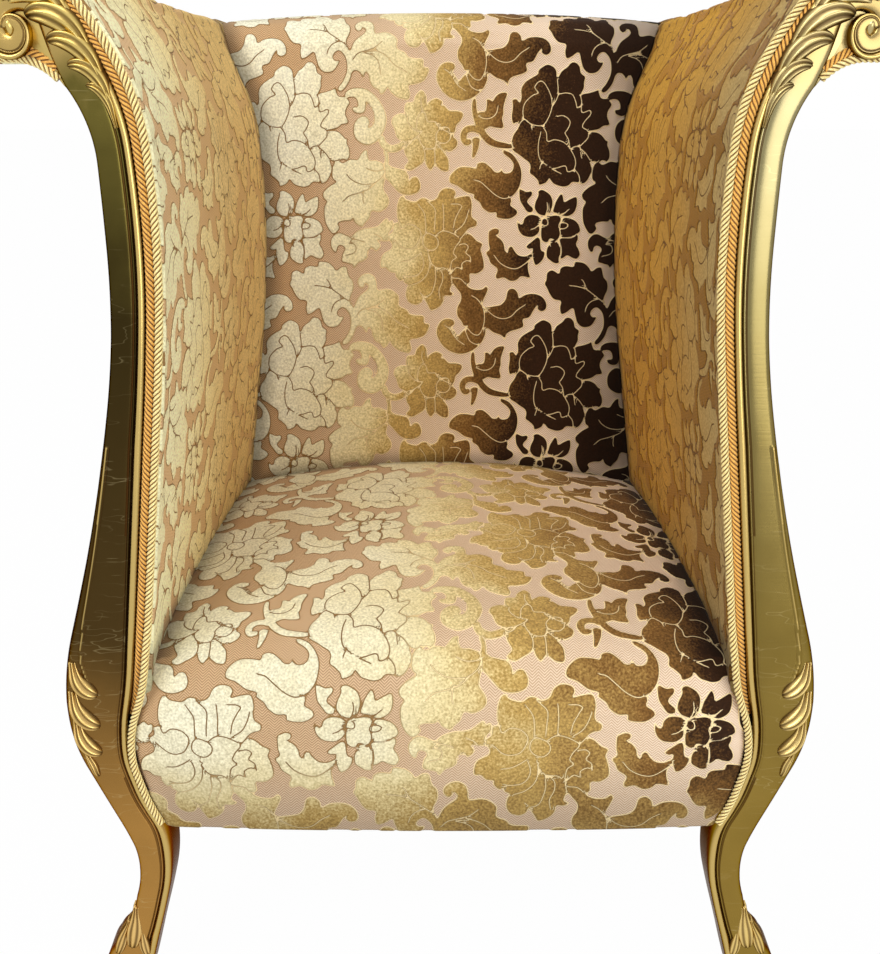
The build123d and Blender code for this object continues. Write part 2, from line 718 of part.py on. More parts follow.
def seat_sheet(z, thickness):
    """Flat sheet over the seat frame."""
    with BuildSketch(Plane.XY.offset(z)) as face:
        with BuildLine():
            Polyline(
                (-CORNER_X + CORDS, FRONT_RAIL_Y),
                (CORNER_X - CORDS, FRONT_RAIL_Y),
                (SIDE_RAIL_FRONT_X + WEBBING_LAP, POST_REAR_Y),
                (SIDE_RAIL_REAR_X + WEBBING_LAP, rail_end_y),
                (BACK_POST_X, rear_rail_y + RAIL_THICKNESS),
                (-BACK_POST_X, rear_rail_y + RAIL_THICKNESS),
                (-SIDE_RAIL_REAR_X - WEBBING_LAP, rail_end_y),
                (-SIDE_RAIL_FRONT_X - WEBBING_LAP, POST_REAR_Y),
                close=True,
            )
        make_face()
    extrude(face.sketch, amount=thickness)
    cut_away(right_post_room, left_post_room, right_back_post, left_back_post)


with BuildPart() as seat_hessian:
    seat_sheet(HESSIAN_Z, HESSIAN_THICKNESS)

with BuildPart() as dust_cover:
    seat_sheet(RAIL_BOTTOM_Z - DUST_COVER_THICKNESS, DUST_COVER_THICKNESS)

crest_bottom = on_slant(CREST_TOP_Z) - BACK_RAIL_HEIGHT
back_strip_pitch = (crest_bottom - on_slant(lower_rail_top_z)) / BACK_STRIPS
with BuildPart() as back_webbing:
    with BuildSketch(reclined_plane(BACK_PAD)):
        with Locations((0, (on_slant(lower_rail_top_z) + crest_bottom) / 2)):
            with GridLocations(0, back_strip_pitch, 1, BACK_STRIPS):
                Rectangle(2 * (BACK_POST_X + WEBBING_LAP), WEBBING_WIDTH)
    extrude(amount=WEBBING_THICKNESS)


# Seat: sections across the chair, each from the front edge over the roll to the back
seat_half = HIP_INNER_X + CORDS
SECTION_SHARES = [step / PAD_SECTIONS - 1 for step in range(2 * PAD_SECTIONS + 1)]


def seat_line(share):
    """Top and front of the seat at a share of its half width."""
    crown = 1 - share**2
    face_y = POST_FACE_Y - SEAT_FRONT_EDGE - (SEAT_FRONT_PROUD - SEAT_FRONT_EDGE) * crown
    top_z = SEAT_CREASE_Z + SEAT_CROWN * crown
    front_z = top_z - SEAT_FRONT_FALL
    rear_z = top_z - SEAT_REAR_FALL
    middle_y = (face_y + SEAT_ROLL + CREASE_Y) / 2
    return [
        (face_y, SEAT_BOTTOM_Z, 0),
        (face_y, front_z - SEAT_ROLL, 0),
        (face_y + SEAT_ROLL, front_z, OUT - SEAT_FRONT_RISE),
        (middle_y, top_z, OUT),
        (back_depth(rear_z, -2 * CLEARANCE), rear_z, OUT + SEAT_REAR_DIP),
    ]


with BuildPart() as seat_cover:
    loft(
        [
            band_face(Plane.YZ.offset(share * seat_half), seat_line(share), 0, COVER, PAD_CHORDS)
            for share in SECTION_SHARES
        ],
        ruled=True,
    )
    cut_away(*cord_rooms, *arm_rooms)

with BuildPart() as seat_foam:
    loft(
        [
            ring_face(
                Plane.YZ.offset(share * seat_half),
                shifted(seat_line(share), COVER + CLEARANCE),
                (back_depth(SEAT_FOAM_Z, -2 * CLEARANCE), SEAT_FOAM_Z),
                (FRONT_RAIL_Y - CLEARANCE, SEAT_FOAM_Z),
                (FRONT_RAIL_Y - CLEARANCE, SEAT_BOTTOM_Z),
                chords=PAD_CHORDS,
            )
            for share in SECTION_SHARES
        ],
        ruled=True,
    )
    cut_away(*cord_rooms, *arm_rooms)

# Back: sections across the chair, each from behind the seat up the front and over the top
back_half = REAR_ROLL_X + CORDS


def back_line(share):
    """Front and top of the back at a share of its half width."""
    top_z = BACK_TOP_Z - BACK_ARCH * share**2
    middle_z = (SEAT_CREASE_Z + top_z) / 2
    crown = BACK_CROWN * (1 - BACK_CROWN_FADE * share**2)
    return [
        (back_depth(BACK_TAIL_Z, 0), BACK_TAIL_Z, RECLINE),
        (back_depth(SEAT_CREASE_Z, 0), SEAT_CREASE_Z, RECLINE),
        (back_depth(middle_z, -crown), middle_z, RECLINE),
        (back_depth(top_z - BACK_ROLL, 0), top_z - BACK_ROLL, RECLINE),
        (back_depth(top_z, BACK_ROLL), top_z, OUT),
        (back_depth(top_z, BACK_FRAME), top_z, OUT),
    ]


with BuildPart() as back_cover:
    loft(
        [
            band_face(Plane.YZ.offset(share * back_half), back_line(share), 0, COVER, PAD_CHORDS)
            for share in SECTION_SHARES
        ],
        ruled=True,
    )
    cut_away(*arm_rooms)

with BuildPart() as back_foam:
    strip_front = BACK_PAD - WEBBING_THICKNESS
    over_crest_z = CREST_TOP_Z + CLEARANCE
    loft(
        [
            ring_face(
                Plane.YZ.offset(share * back_half),
                shifted(back_line(share), COVER + CLEARANCE),
                (back_depth(over_crest_z, BACK_FRAME), over_crest_z),
                (back_depth(over_crest_z, strip_front), over_crest_z),
                (back_depth(BACK_TAIL_Z, strip_front), BACK_TAIL_Z),
                chords=PAD_CHORDS,
            )
            for share in SECTION_SHARES
        ],
        ruled=True,
    )
    cut_away(*arm_rooms)


# Arms: foam and cover from the cords to the rear of the back
def arm_foam_face(plane, line):
    """Section of an arm's foam, filled behind the roll."""
    skin = shifted(line, COVER + CLEARANCE)
    lining = shifted(line[:4], ARM_PAD)
    with BuildSketch(plane) as face:
        with BuildLine():
            smooth_path(skin, PAD_CHORDS)
            Line(skin[-1][:2], lining[-1][:2])
            smooth_path(turned_back(lining), PAD_CHORDS)
            Line(lining[0][:2], skin[0][:2])
        make_face()
    return face.sketch


back_frame = (right_back_post, crest_rail, lower_back_rail, back_webbing)
arm_front_plane = front_plane(PAD_FRONT_Y)
arm_rear_plane = reclined_plane(BACK_FRAME)
arm_front = front_arm_line(ARM_TAIL_Z) + [(FRONT_TUCK_X, FRONT_ROLL_UNDER_Z, IN)]
arm_rear = rear_arm_line(ARM_TAIL_Z) + [(REAR_TUCK_X, on_slant(REAR_ROLL_UNDER_Z), IN)]

with BuildPart() as right_arm_foam:
    loft(
        [
            arm_foam_face(arm_front_plane, arm_front),
            arm_foam_face(arm_rear_plane, arm_rear),
        ],
        ruled=True,
    )
    cut_away(right_post_room, right_arm_rail, right_tack_rail, *back_frame)
    right_arm_foam.part = right_arm_foam.part.solids().sort_by(SortBy.VOLUME)[-1]
left_arm_foam = mirrored(right_arm_foam)

with BuildPart() as right_arm_cover:
    loft(
        [
            band_face(arm_front_plane, arm_front, 0, COVER, PAD_CHORDS),
            band_face(arm_rear_plane, arm_rear, 0, COVER, PAD_CHORDS),
        ],
        ruled=True,
    )
    cut_away(right_post_room, *back_frame)
    right_arm_cover.part = right_arm_cover.part.solids().sort_by(SortBy.VOLUME)[-1]
left_arm_cover = mirrored(right_arm_cover)

# Outside panels
panel_front = led_in(shifted(post_outer, CORD_DIAMETER + 2 * CLEARANCE), PANEL_FRONT_RISE)
panel_rear = led_in(outer_rear_line, PANEL_REAR_RISE)
with BuildPart() as right_outside_panel:
    loft(
        [
            band_face(front_plane(POST_REAR_Y), panel_front, 0, PANEL_THICKNESS, PANEL_CHORDS),
            band_face(arm_rear_plane, panel_rear, 0, PANEL_THICKNESS, PANEL_CHORDS),
        ],
        ruled=True,
    )
left_outside_panel = mirrored(right_outside_panel)

with BuildPart() as outside_back_panel:
    rear_roll = turned_back(rear_arm_line(ARM_TAIL_Z)[4:])
    back_edge = turned_back(outer_rear_line) + rear_roll + [(0, on_slant(BACK_TOP_Z), -OUT)]
    with BuildSketch(reclined_plane(BACK_FRAME + CLEARANCE)):
        add(ring_face(Plane.XY, back_edge, (0, on_slant(SEAT_BOTTOM_Z))))
        mirror(about=Plane.YZ)
    extrude(amount=-PANEL_THICKNESS)


# Cords: gold beside the fabric, bronze beside the wood, and one behind the outer edge of the post
def cord(stations, y, chords):
    """Cord along a line, with flat sides."""
    with BuildLine() as flat:
        smooth_path(stations, chords)
    route = front_plane(y).from_local_coords(flat.line)
    with BuildPart() as tube:
        with BuildSketch(Plane(route @ 0, x_dir=(0, 1, 0), z_dir=route % 0)):
            RegularPolygon(CORD_DIAMETER / 2, CORD_SIDES)
        sweep(path=route, transition=Transition.RIGHT)
    return tube


right_gold_cord = cord(gold_line, CORD_Y, CORD_CHORDS)
left_gold_cord = mirrored(right_gold_cord)
right_bronze_cord = cord(bronze_line, CORD_Y, CORD_CHORDS)
left_bronze_cord = mirrored(right_bronze_cord)
right_edge_cord = cord(edge_line, POST_REAR_Y + CORD_DIAMETER / 2, PANEL_CHORDS)
left_edge_cord = mirrored(right_edge_cord)

# Glides under the four feet
with BuildPart() as foot_glides:
    with BuildSketch():
        with Locations(
            ((HEEL_X + TOE_SOLE_X) / 2, POST_FACE_Y + POST_DEPTH / 2),
            (BACK_POST_X + BACK_POST_WIDTH / 2, rear_foot_y + REAR_FOOT_DEPTH / 2),
        ):
            RegularPolygon(GLIDE_DIAMETER / 2, GLIDE_SIDES)
        mirror(about=Plane.YZ)
    extrude(amount=GLIDE_HEIGHT)

os.makedirs("parts", exist_ok=True)
pieces = {
    "left_front_post": left_front_post,
    "right_front_post": right_front_post,
    "left_back_post": left_back_post,
    "right_back_post": right_back_post,
    "front_rail": front_rail,
    "rear_rail": rear_rail,
    "left_side_rail": left_side_rail,
    "right_side_rail": right_side_rail,
    "crest_rail": crest_rail,
    "lower_back_rail": lower_back_rail,
    "left_arm_rail": left_arm_rail,
    "right_arm_rail": right_arm_rail,
    "left_tack_rail": left_tack_rail,
    "right_tack_rail": right_tack_rail,
    "corner_blocks": corner_blocks,
    "seat_webbing_crosswise": seat_webbing_crosswise,
    "seat_webbing_lengthwise": seat_webbing_lengthwise,
    "seat_hessian": seat_hessian,
    "seat_foam": seat_foam,
    "seat_cover": seat_cover,
    "dust_cover": dust_cover,
    "back_webbing": back_webbing,
    "back_foam": back_foam,
    "back_cover": back_cover,
    "left_arm_foam": left_arm_foam,
    "right_arm_foam": right_arm_foam,
    "left_arm_cover": left_arm_cover,
    "right_arm_cover": right_arm_cover,
    "left_outside_panel": left_outside_panel,
    "right_outside_panel": right_outside_panel,
    "outside_back_panel": outside_back_panel,
    "left_gold_cord": left_gold_cord,
    "right_gold_cord": right_gold_cord,
    "left_bronze_cord": left_bronze_cord,
    "right_bronze_cord": right_bronze_cord,
    "left_edge_cord": left_edge_cord,
    "right_edge_cord": right_edge_cord,
    "foot_glides": foot_glides,
}
for name, piece in pieces.items():
    piece.part.label = name
    export_step(piece.part, f"parts/{name}.step")
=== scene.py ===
"""Looks of the baroque armchair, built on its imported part.

Sizes are in millimetres and become metres where a mesh is made. The chair faces -Y, X runs across it
and Z is up. A line is a list of stations (across, height, heading), with the heading in degrees from
straight up and turning outward, and tangent arcs join the stations, as in the part itself.
"""
import json
from math import atan2, cos, degrees, pi, radians, sin, sqrt, tan

import bmesh
import bpy
import numpy as np
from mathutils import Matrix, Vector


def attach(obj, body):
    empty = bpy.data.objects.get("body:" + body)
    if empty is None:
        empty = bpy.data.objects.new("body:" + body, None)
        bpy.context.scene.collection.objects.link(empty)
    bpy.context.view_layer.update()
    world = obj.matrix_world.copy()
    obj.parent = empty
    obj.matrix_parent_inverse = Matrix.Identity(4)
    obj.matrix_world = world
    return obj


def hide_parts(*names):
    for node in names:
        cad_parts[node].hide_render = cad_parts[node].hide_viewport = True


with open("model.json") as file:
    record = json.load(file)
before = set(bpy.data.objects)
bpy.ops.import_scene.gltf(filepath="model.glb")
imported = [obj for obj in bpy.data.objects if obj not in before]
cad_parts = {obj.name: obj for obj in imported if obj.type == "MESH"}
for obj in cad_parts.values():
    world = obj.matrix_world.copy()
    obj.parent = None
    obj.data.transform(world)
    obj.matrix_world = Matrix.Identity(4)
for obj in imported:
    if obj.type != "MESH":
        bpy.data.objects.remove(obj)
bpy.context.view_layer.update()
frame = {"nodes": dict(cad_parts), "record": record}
MM = 0.001

# Places of the part
POST_FACE_Y = -336.0
POST_DEPTH = 46.0
CORD_DIAMETER = 7.5
CORD_SETBACK = 1.0
CLEARANCE = 0.3
SEAT_DEPTH = 504.0
SEAT_CREASE_Z = 395.0
SEAT_BOTTOM_Z = 212.0
SEAT_CROWN = 44.0
SEAT_FRONT_FALL = 18.0
SEAT_REAR_FALL = 16.0
SEAT_FRONT_RISE = 12.0
SEAT_REAR_DIP = 8.0
SEAT_ROLL = 55.0
SEAT_FRONT_PROUD = 12.0
SEAT_FRONT_EDGE = 2.0
SEAT_HALF = 326.5
RECLINE = radians(7.5)
BACK_TOP_Z = 991.0
BACK_ARCH = 9.0
BACK_CROWN = 10.0
BACK_CROWN_FADE = 0.8
BACK_ROLL = 24.0
BACK_FRAME = 95.0
BACK_HALF = 305.0
PANEL_FRONT_RISE = 11.0
PANEL_REAR_RISE = 18.0
GLIDE_HEIGHT = 4.0
OUT, DOWN, IN = 90.0, 180.0, 270.0
SIDES = (("right", 1), ("left", -1))

# Limits of what counts as straight, as nothing and as out of reach
STRAIGHT = 1e-6
TINY = 1e-9
HUGE = 1e9

# Places that follow
CORDS = 2 * CORD_DIAMETER
CORD_RADIUS = CORD_DIAMETER / 2
CORD_TAIL = 10.0
CORD_Y = POST_FACE_Y + CORD_SETBACK + CORD_RADIUS
PAD_FRONT_Y = CORD_Y + CORD_RADIUS + CLEARANCE
POST_REAR_Y = POST_FACE_Y + POST_DEPTH
CREASE_Y = POST_FACE_Y + SEAT_DEPTH


def on_slant(z):
    """Slant height on the reclined back of a point at height z."""
    return z / cos(RECLINE)


def back_depth(z, behind):
    """Depth of a point of the reclined back at height z, so far behind its front."""
    return CREASE_Y + (z - SEAT_CREASE_Z) * tan(RECLINE) + behind / cos(RECLINE)


# Lines of the arms and posts
def arm_line(crease, bend, waist, shoulder, roll, roll_out, roll_under, tuck_x, tail_z):
    """Fabric line of an arm from its tail beside the seat, up and round the roll."""
    lean = degrees(atan2(crease[0] - bend[0], bend[1] - crease[1]))
    tail_x = crease[0] + (crease[1] - tail_z) * tan(radians(lean))
    return [
        (tail_x, tail_z, -lean),
        (*bend, -lean),
        (*waist, 0.0),
        shoulder,
        (*roll, OUT),
        (*roll_out, DOWN),
        (*roll_under, IN),
        (tuck_x, roll_under[1], IN),
    ]


def front_arm_line(tail_z):
    """Fabric line of the arm at the front."""
    return arm_line(
        (283.0, SEAT_CREASE_Z), (253.0, 638.0), (239.0, 815.0), (261.0, 954.0, 27.0),
        (345.0, 1030.0), (395.0, 987.0), (356.0, 949.0), 303.0, tail_z,
    )


def rear_arm_line(tail_z):
    """Fabric line of the arm at the rear, on the slant of the back."""
    return arm_line(
        (251.0, on_slant(SEAT_CREASE_Z)), (230.0, on_slant(564.0)), (220.0, on_slant(728.0)),
        (250.0, on_slant(920.0), 26.0), (290.0, on_slant(984.0)), (333.0, on_slant(953.0)),
        (312.0, on_slant(927.0)), 300.0, on_slant(tail_z),
    )


def shifted(stations, amount):
    """The same line moved sideways, to the right of its travel."""
    return [(x + amount * cos(radians(h)), z - amount * sin(radians(h)), h) for x, z, h in stations]


def led_in(stations, length):
    """The same line, begun earlier by a straight length."""
    x, z, h = stations[0]
    return [(x - length * sin(radians(h)), z - length * cos(radians(h)), h)] + stations


def led_out(stations, length):
    """The same line, carried on by a straight length."""
    x, z, h = stations[-1]
    return stations + [(x + length * sin(radians(h)), z + length * cos(radians(h)), h)]


def turned_back(stations):
    """The same line travelled the other way."""
    return [(x, z, h + DOWN) for x, z, h in reversed(stations)]


arm_top = front_arm_line(SEAT_CREASE_Z)[:-1]
leg_inner = [
    (317.0, GLIDE_HEIGHT, -15.5),
    (297.0, 80.0, -15.5),
    (280.0, 172.0, 0.0),
    (288.0, 213.0, 26.0),
    (303.0, 251.0, 15.0),
    (311.5, 297.0, 0.0),
]
post_outer = [
    (307.0, 930.0, DOWN + 34.5),
    (286.5, 800.0, DOWN),
    (331.0, 508.0, DOWN - 14.5),
    (365.0, 340.0, DOWN),
    (329.0, SEAT_BOTTOM_Z, DOWN + 21.0),
]
leg_outer = [
    (315.0, 155.0, DOWN),
    (333.0, 84.0, DOWN - 24.0),
    (366.0, 26.0, DOWN),
    (346.0, GLIDE_HEIGHT, IN),
]
outer_rear_line = [
    (x, on_slant(z), h)
    for x, z, h in [
        (300.0, 905.0, DOWN + 8.0),
        (292.0, 740.0, DOWN),
        (298.0, 560.0, DOWN - 3.0),
        (303.0, 400.0, DOWN),
        (297.0, SEAT_BOTTOM_Z, DOWN + 3.0),
    ]
]
gold_line = shifted(leg_inner[3:], -CORD_RADIUS) + led_out(shifted(arm_top, CORD_RADIUS), CORD_TAIL)
bronze_line = led_out(shifted(arm_top, 3 * CORD_RADIUS), CORD_TAIL)
edge_line = led_in(shifted(post_outer, CORD_RADIUS + CLEARANCE), CORD_TAIL)

ARC_STEPS = 24


def arc_points(start, end, heading):
    """Points of an arc that leaves start at a heading, with the heading it ends at."""
    chord = end - start
    turn = atan2(chord[0], chord[1]) - heading
    turn = atan2(sin(turn), cos(turn))
    share = np.linspace(0, 1, ARC_STEPS + 1)
    reach = share if abs(turn) < STRAIGHT else np.sin(share * turn) / sin(turn)
    way = heading + share * turn
    points = start + np.linalg.norm(chord) * reach[:, None] * np.c_[np.sin(way), np.cos(way)]
    return points, heading + 2 * turn


def smooth_points(stations):
    """Points along tangent arcs through the stations, two arcs to a span."""
    runs = []
    for (x0, z0, h0), (x1, z1, h1) in zip(stations, stations[1:]):
        start, end = np.array((x0, z0)), np.array((x1, z1))
        leave = np.array((sin(radians(h0)), cos(radians(h0))))
        arrive = np.array((sin(radians(h1)), cos(radians(h1))))
        span = end - start
        along = span @ (leave + arrive)
        bend = 2 * (1 - leave @ arrive)
        if bend < STRAIGHT:
            reach = span @ span / (2 * along)
        else:
            reach = (sqrt(along**2 + bend * (span @ span)) - along) / bend
        middle = (start + end + (leave - arrive) * reach) / 2
        first, turned = arc_points(start, middle, radians(h0))
        second, _ = arc_points(middle, end, turned)
        runs += [first[:-1], second[:-1]]
    return np.vstack(runs + [np.array([stations[-1][:2]])])


def lengths(points):
    """Length travelled at each point of a line."""
    return np.r_[0, np.cumsum(np.linalg.norm(np.diff(points, axis=0), axis=1))]


def picked(points, where, run):
    """Points of a line at given values of a run that rises along it."""
    return np.stack([np.interp(where, run, points[:, axis]) for axis in range(points.shape[1])], -1)


def along(points, where):
    """Points of a line at given lengths along it."""
    return picked(points, where, lengths(points))


def headings(points):
    """Unit directions of travel along a line."""
    way = np.gradient(points, axis=0)
    return way / np.linalg.norm(way, axis=1)[:, None]


def leftward(points):
    """Unit directions to the left of the travel along a flat line."""
    way = headings(points)
    return np.c_[-way[:, 1], way[:, 0]]


def ease(value, low, high):
    """Smooth rise from 0 at low to 1 at high."""
    share = np.clip((value - low) / (high - low), 0, 1)
    return share * share * (3 - 2 * share)


def between(pick, row, column, down, across):
    """Value between four neighbours of a grid, at shares of a cell down and across."""
    low = pick(row, column) * (1 - across) + pick(row, column + 1) * across
    high = pick(row + 1, column) * (1 - across) + pick(row + 1, column + 1) * across
    return low * (1 - down) + high * down


# Meshes
MERGE_DISTANCE = 1e-6


def mirrored(places, mirror):
    """Places on the right side for a mirror of 1, or their mirror image on the left for -1."""
    return places * np.array((mirror, 1.0, 1.0))


def finish_mesh(work, name, smooth=True):
    """Turn a bmesh into a piece of the scene that rides on the chair."""
    bmesh.ops.recalc_face_normals(work, faces=work.faces)
    mesh = bpy.data.meshes.new(name)
    work.to_mesh(mesh)
    work.free()
    mesh.polygons.foreach_set("use_smooth", [smooth] * len(mesh.polygons))
    piece = bpy.data.objects.new(name, mesh)
    bpy.context.scene.collection.objects.link(piece)
    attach(piece, "root")
    return piece


def grid_into(work, places, layers=(), wrap=False):
    """Add a grid of places, rows by columns, with values for its vertices, and close it where it wraps.

    Gives the grid's vertices by row and column.
    """
    rows, columns = places.shape[:2]
    made = bmesh.ops.create_grid(work, x_segments=columns - 1, y_segments=rows - 1, size=0.5)["verts"]
    spots = np.array([v.co[:2] for v in made])
    column = np.rint((spots[:, 0] + 0.5) * (columns - 1)).astype(int)
    row = np.rint((spots[:, 1] + 0.5) * (rows - 1)).astype(int)
    for vertex, place in zip(made, places[row, column] * MM):
        vertex.co = place
    for layer, values in layers:
        for vertex, value in zip(made, values[row, column]):
            vertex[layer] = value
    if wrap:
        bmesh.ops.remove_doubles(work, verts=made, dist=MERGE_DISTANCE)
    order = np.empty((rows, columns), object)
    order[row, column] = made
    return order


def grid_normals(places):
    """Unit normals of a grid of places."""
    normal = np.cross(np.gradient(places, axis=1), np.gradient(places, axis=0))
    return normal / (np.linalg.norm(normal, axis=2)[..., None] + TINY)


def folded(values, rim=None):
    """A grid with one more row or column along each edge, which repeats the edge or takes the rim's."""
    around = ((1, 1), (1, 1)) + ((0, 0),) * (values.ndim - 2)
    grown = np.pad(values if rim is None else rim, around, "edge")
    grown[1:-1, 1:-1] = values
    return grown


def edges_along(vertices):
    """Edges that join a run of vertices."""
    return [next(e for e in a.link_edges if e.other_vert(a) is b) for a, b in zip(vertices, vertices[1:])]


def fill_ends(work):
    """Close the open ends of what has been made."""
    bmesh.ops.holes_fill(work, edges=[e for e in work.edges if e.is_boundary], sides=0)


def close_behind(work, order):
    """Join the first and last columns of a folded grid behind it and fill its two ends."""
    rims = edges_along(order[:, 0]) + edges_along(order[:, -1])
    for edge in rims:
        edge.smooth = False
    bmesh.ops.bridge_loops(work, edges=rims)
    fill_ends(work)


# Damask: shapes drawn in a tile that repeats, with distances to their edges and to the lines on them
class Damask:
    """Distances in millimetres over one repeat of a pattern."""

    FAR = 9.0

    def __init__(self, width, height, unit_width, unit_height):
        self.size = np.array((width, height))
        self.units = self.size / (unit_width, unit_height)
        self.shape = (int(round(height)), int(round(width)))
        self.step = self.size / self.shape[::-1]
        self.pile = np.full(self.shape, -self.FAR)
        self.line = np.full(self.shape, self.FAR)

    def to_mm(self, points):
        """Drawn places, with y down, in millimetres with y up."""
        points = np.asarray(points, float) * self.units
        return np.c_[points[:, 0], -points[:, 1]]

    def around(self, points):
        """Cells near some points: their places and their rows and columns in the repeat."""
        low = np.floor((points.min(0) - self.FAR) / self.step).astype(int)
        high = np.ceil((points.max(0) + self.FAR) / self.step).astype(int)
        columns, rows = np.arange(low[0], high[0] + 1), np.arange(low[1], high[1] + 1)
        x, y = np.meshgrid(columns * self.step[0], rows * self.step[1])
        tall, wide = self.shape
        return x, y, (rows[:, None] % tall, columns[None, :] % wide)

    @staticmethod
    def reach(x, y, points):
        """Distance to a line of points, and the side of it that each place is on."""
        best = np.full(x.shape, HUGE)
        side = np.ones(x.shape)
        for (x0, y0), (x1, y1) in zip(points, points[1:]):
            dx, dy = x1 - x0, y1 - y0
            share = np.clip(((x - x0) * dx + (y - y0) * dy) / (dx * dx + dy * dy + TINY), 0, 1)
            away = np.hypot(x - x0 - share * dx, y - y0 - share * dy)
            nearer = away < best
            best = np.where(nearer, away, best)
            side = np.where(nearer, np.sign((x - x0) * dy - (y - y0) * dx + TINY), side)
        return best, side

    def lay(self, *outlines):
        """Lay one shape, joined from closed outlines, over what is there."""
        loops = [self.to_mm(outline) for outline in outlines]
        x, y, cells = self.around(np.vstack(loops))
        signed = np.full(x.shape, -HUGE)
        for loop in loops:
            points = np.vstack([loop, loop[:1]])
            away, _ = self.reach(x, y, points)
            inside = np.zeros(x.shape, bool)
            for (x0, y0), (x1, y1) in zip(points, points[1:]):
                if y0 != y1:
                    inside ^= ((y0 > y) != (y1 > y)) & (x < (x1 - x0) * (y - y0) / (y1 - y0) + x0)
            signed = np.maximum(signed, np.where(inside, away, -away))
        self.pile[cells] = np.maximum(self.pile[cells], signed)
        old = self.line[cells]
        self.line[cells] = np.where((signed > 0) | (np.abs(signed) < np.abs(old)), signed, old)

    def score(self, stroke):
        """Draw a line on the shapes."""
        points = self.to_mm(stroke)
        x, y, cells = self.around(points)
        away, side = self.reach(x, y, points)
        old = self.line[cells]
        self.line[cells] = np.where(away < np.abs(old), away * side, old)

    def sample(self, field, across, up):
        """Values of a field at places on the cloth."""
        column, row = across / self.step[0], up / self.step[1]
        c0, r0 = np.floor(column).astype(int), np.floor(row).astype(int)
        tall, wide = self.shape
        return between(lambda r, c: field[r % tall, c % wide], r0, c0, row - r0, column - c0)


REPEAT_WIDTH = 334.0
REPEAT_HEIGHT = 322.0
DRAWN_WIDTH = 770.0
DRAWN_HEIGHT = 750.0
ROUND_END = 14
damask = Damask(REPEAT_WIDTH, REPEAT_HEIGHT, DRAWN_WIDTH, DRAWN_HEIGHT)


def curve(a, b, c, d, count):
    """Points of smooth curves from the points b to the points c, between neighbours a and d."""
    share = np.linspace(0, 1, count, endpoint=False)[:, None, None]
    bend = 2 * a - 5 * b + 4 * c - d + share * (3 * (b - c) + d - a)
    run = b + share / 2 * (c - a + share * bend)
    return run.transpose(1, 0, 2).reshape(-1, 2)


def smooth_run(points, count=10):
    """Points of a smooth curve through drawn points."""
    points = np.array(points, float)
    ends = np.vstack([2 * points[0] - points[1], points, 2 * points[-1] - points[-2]])
    return np.vstack([curve(ends[:-3], ends[1:-2], ends[2:-1], ends[3:], count), points[-1:]])


def closed_run(points, count=5):
    """Points of a smooth closed curve through drawn points."""
    points = np.array(points, float)
    return curve(*(np.roll(points, turn, 0) for turn in (1, 0, -1, -2)), count)


def stem(points, *widths):
    """Outline of a curved stroke whose width changes along it, with round ends."""
    spine = smooth_run(points)
    share = np.linspace(0, 1, len(spine))
    half = np.interp(share, np.linspace(0, 1, len(widths)), widths) / 2
    half *= np.sqrt(np.clip(1 - (2 * share - 1) ** ROUND_END, 0, 1))
    normal = leftward(spine) * half[:, None]
    return np.vstack([spine + normal, (spine - normal)[::-1]])


def motif(outline, *lines, stems=()):
    """Lay a drawn shape with its stems, then draw the lines on it."""
    damask.lay(closed_run(outline), *[stem(*stroke) for stroke in stems])
    for line in lines:
        damask.score(smooth_run(line))


# Peony
motif(
    [
        (962, 172), (970, 158), (987, 145), (997, 133), (1012, 133), (1023, 145), (1027, 162),
        (1040, 173), (1037, 188), (1037, 205), (1027, 225), (1034, 221), (1053, 217), (1073, 210),
        (1078, 205), (1083, 222), (1090, 232), (1107, 233), (1118, 245), (1120, 252), (1110, 268),
        (1108, 285), (1115, 302), (1113, 310), (1097, 312), (1083, 322), (1067, 325), (1050, 328),
        (1057, 329), (1077, 330), (1093, 338), (1105, 352), (1113, 355), (1110, 365), (1117, 382),
        (1118, 402), (1110, 415), (1097, 412), (1077, 420), (1060, 413), (1062, 425), (1065, 438),
        (1060, 458), (1050, 475), (1037, 482), (1020, 478), (1007, 478), (997, 488), (980, 492),
        (963, 488), (950, 482), (938, 468), (933, 478), (920, 485), (908, 487), (905, 475), (892, 462),
        (880, 452), (882, 435), (877, 422), (863, 412), (850, 402), (830, 388), (825, 372), (830, 345),
        (843, 325), (848, 312), (840, 307), (830, 312), (825, 292), (827, 272), (828, 258), (827, 242),
        (840, 240), (848, 250), (853, 235), (852, 212), (863, 192), (883, 178), (900, 168), (902, 157),
        (917, 145), (930, 140), (947, 147), (955, 158), (957, 175),
    ],
    [
        (900, 192), (892, 207), (903, 222), (885, 230), (862, 255), (860, 290), (882, 310), (915, 315),
        (932, 295), (943, 262), (940, 230), (925, 200), (912, 188), (900, 192),
    ],
    [(848, 312), (862, 298), (880, 310), (885, 325)],
    [
        (957, 175), (960, 202), (963, 222), (985, 220), (1003, 225), (1013, 245), (1018, 262),
        (1030, 250), (1027, 228),
    ],
    [(943, 262), (955, 242), (963, 222)],
    [
        (1030, 250), (1032, 275), (1055, 268), (1057, 280), (1042, 298), (1034, 316), (1050, 327),
        (1052, 345), (1040, 360), (1028, 372),
    ],
    [(958, 288), (975, 285), (990, 292), (998, 305), (990, 325), (983, 335), (993, 352), (998, 374)],
    [
        (915, 315), (928, 335), (932, 360), (953, 355), (980, 362), (1000, 382), (1015, 412),
        (1012, 438), (993, 447), (985, 430), (953, 438), (930, 428), (912, 415), (905, 392), (906, 360),
        (912, 335),
    ],
    [(930, 428), (950, 442), (972, 452)],
    [(917, 418), (910, 438)],
    [(1000, 382), (1012, 374), (1027, 376), (1033, 405)],
    [(1012, 438), (1026, 456), (1030, 476)],
    [(1027, 376), (1045, 392), (1060, 413)],
)
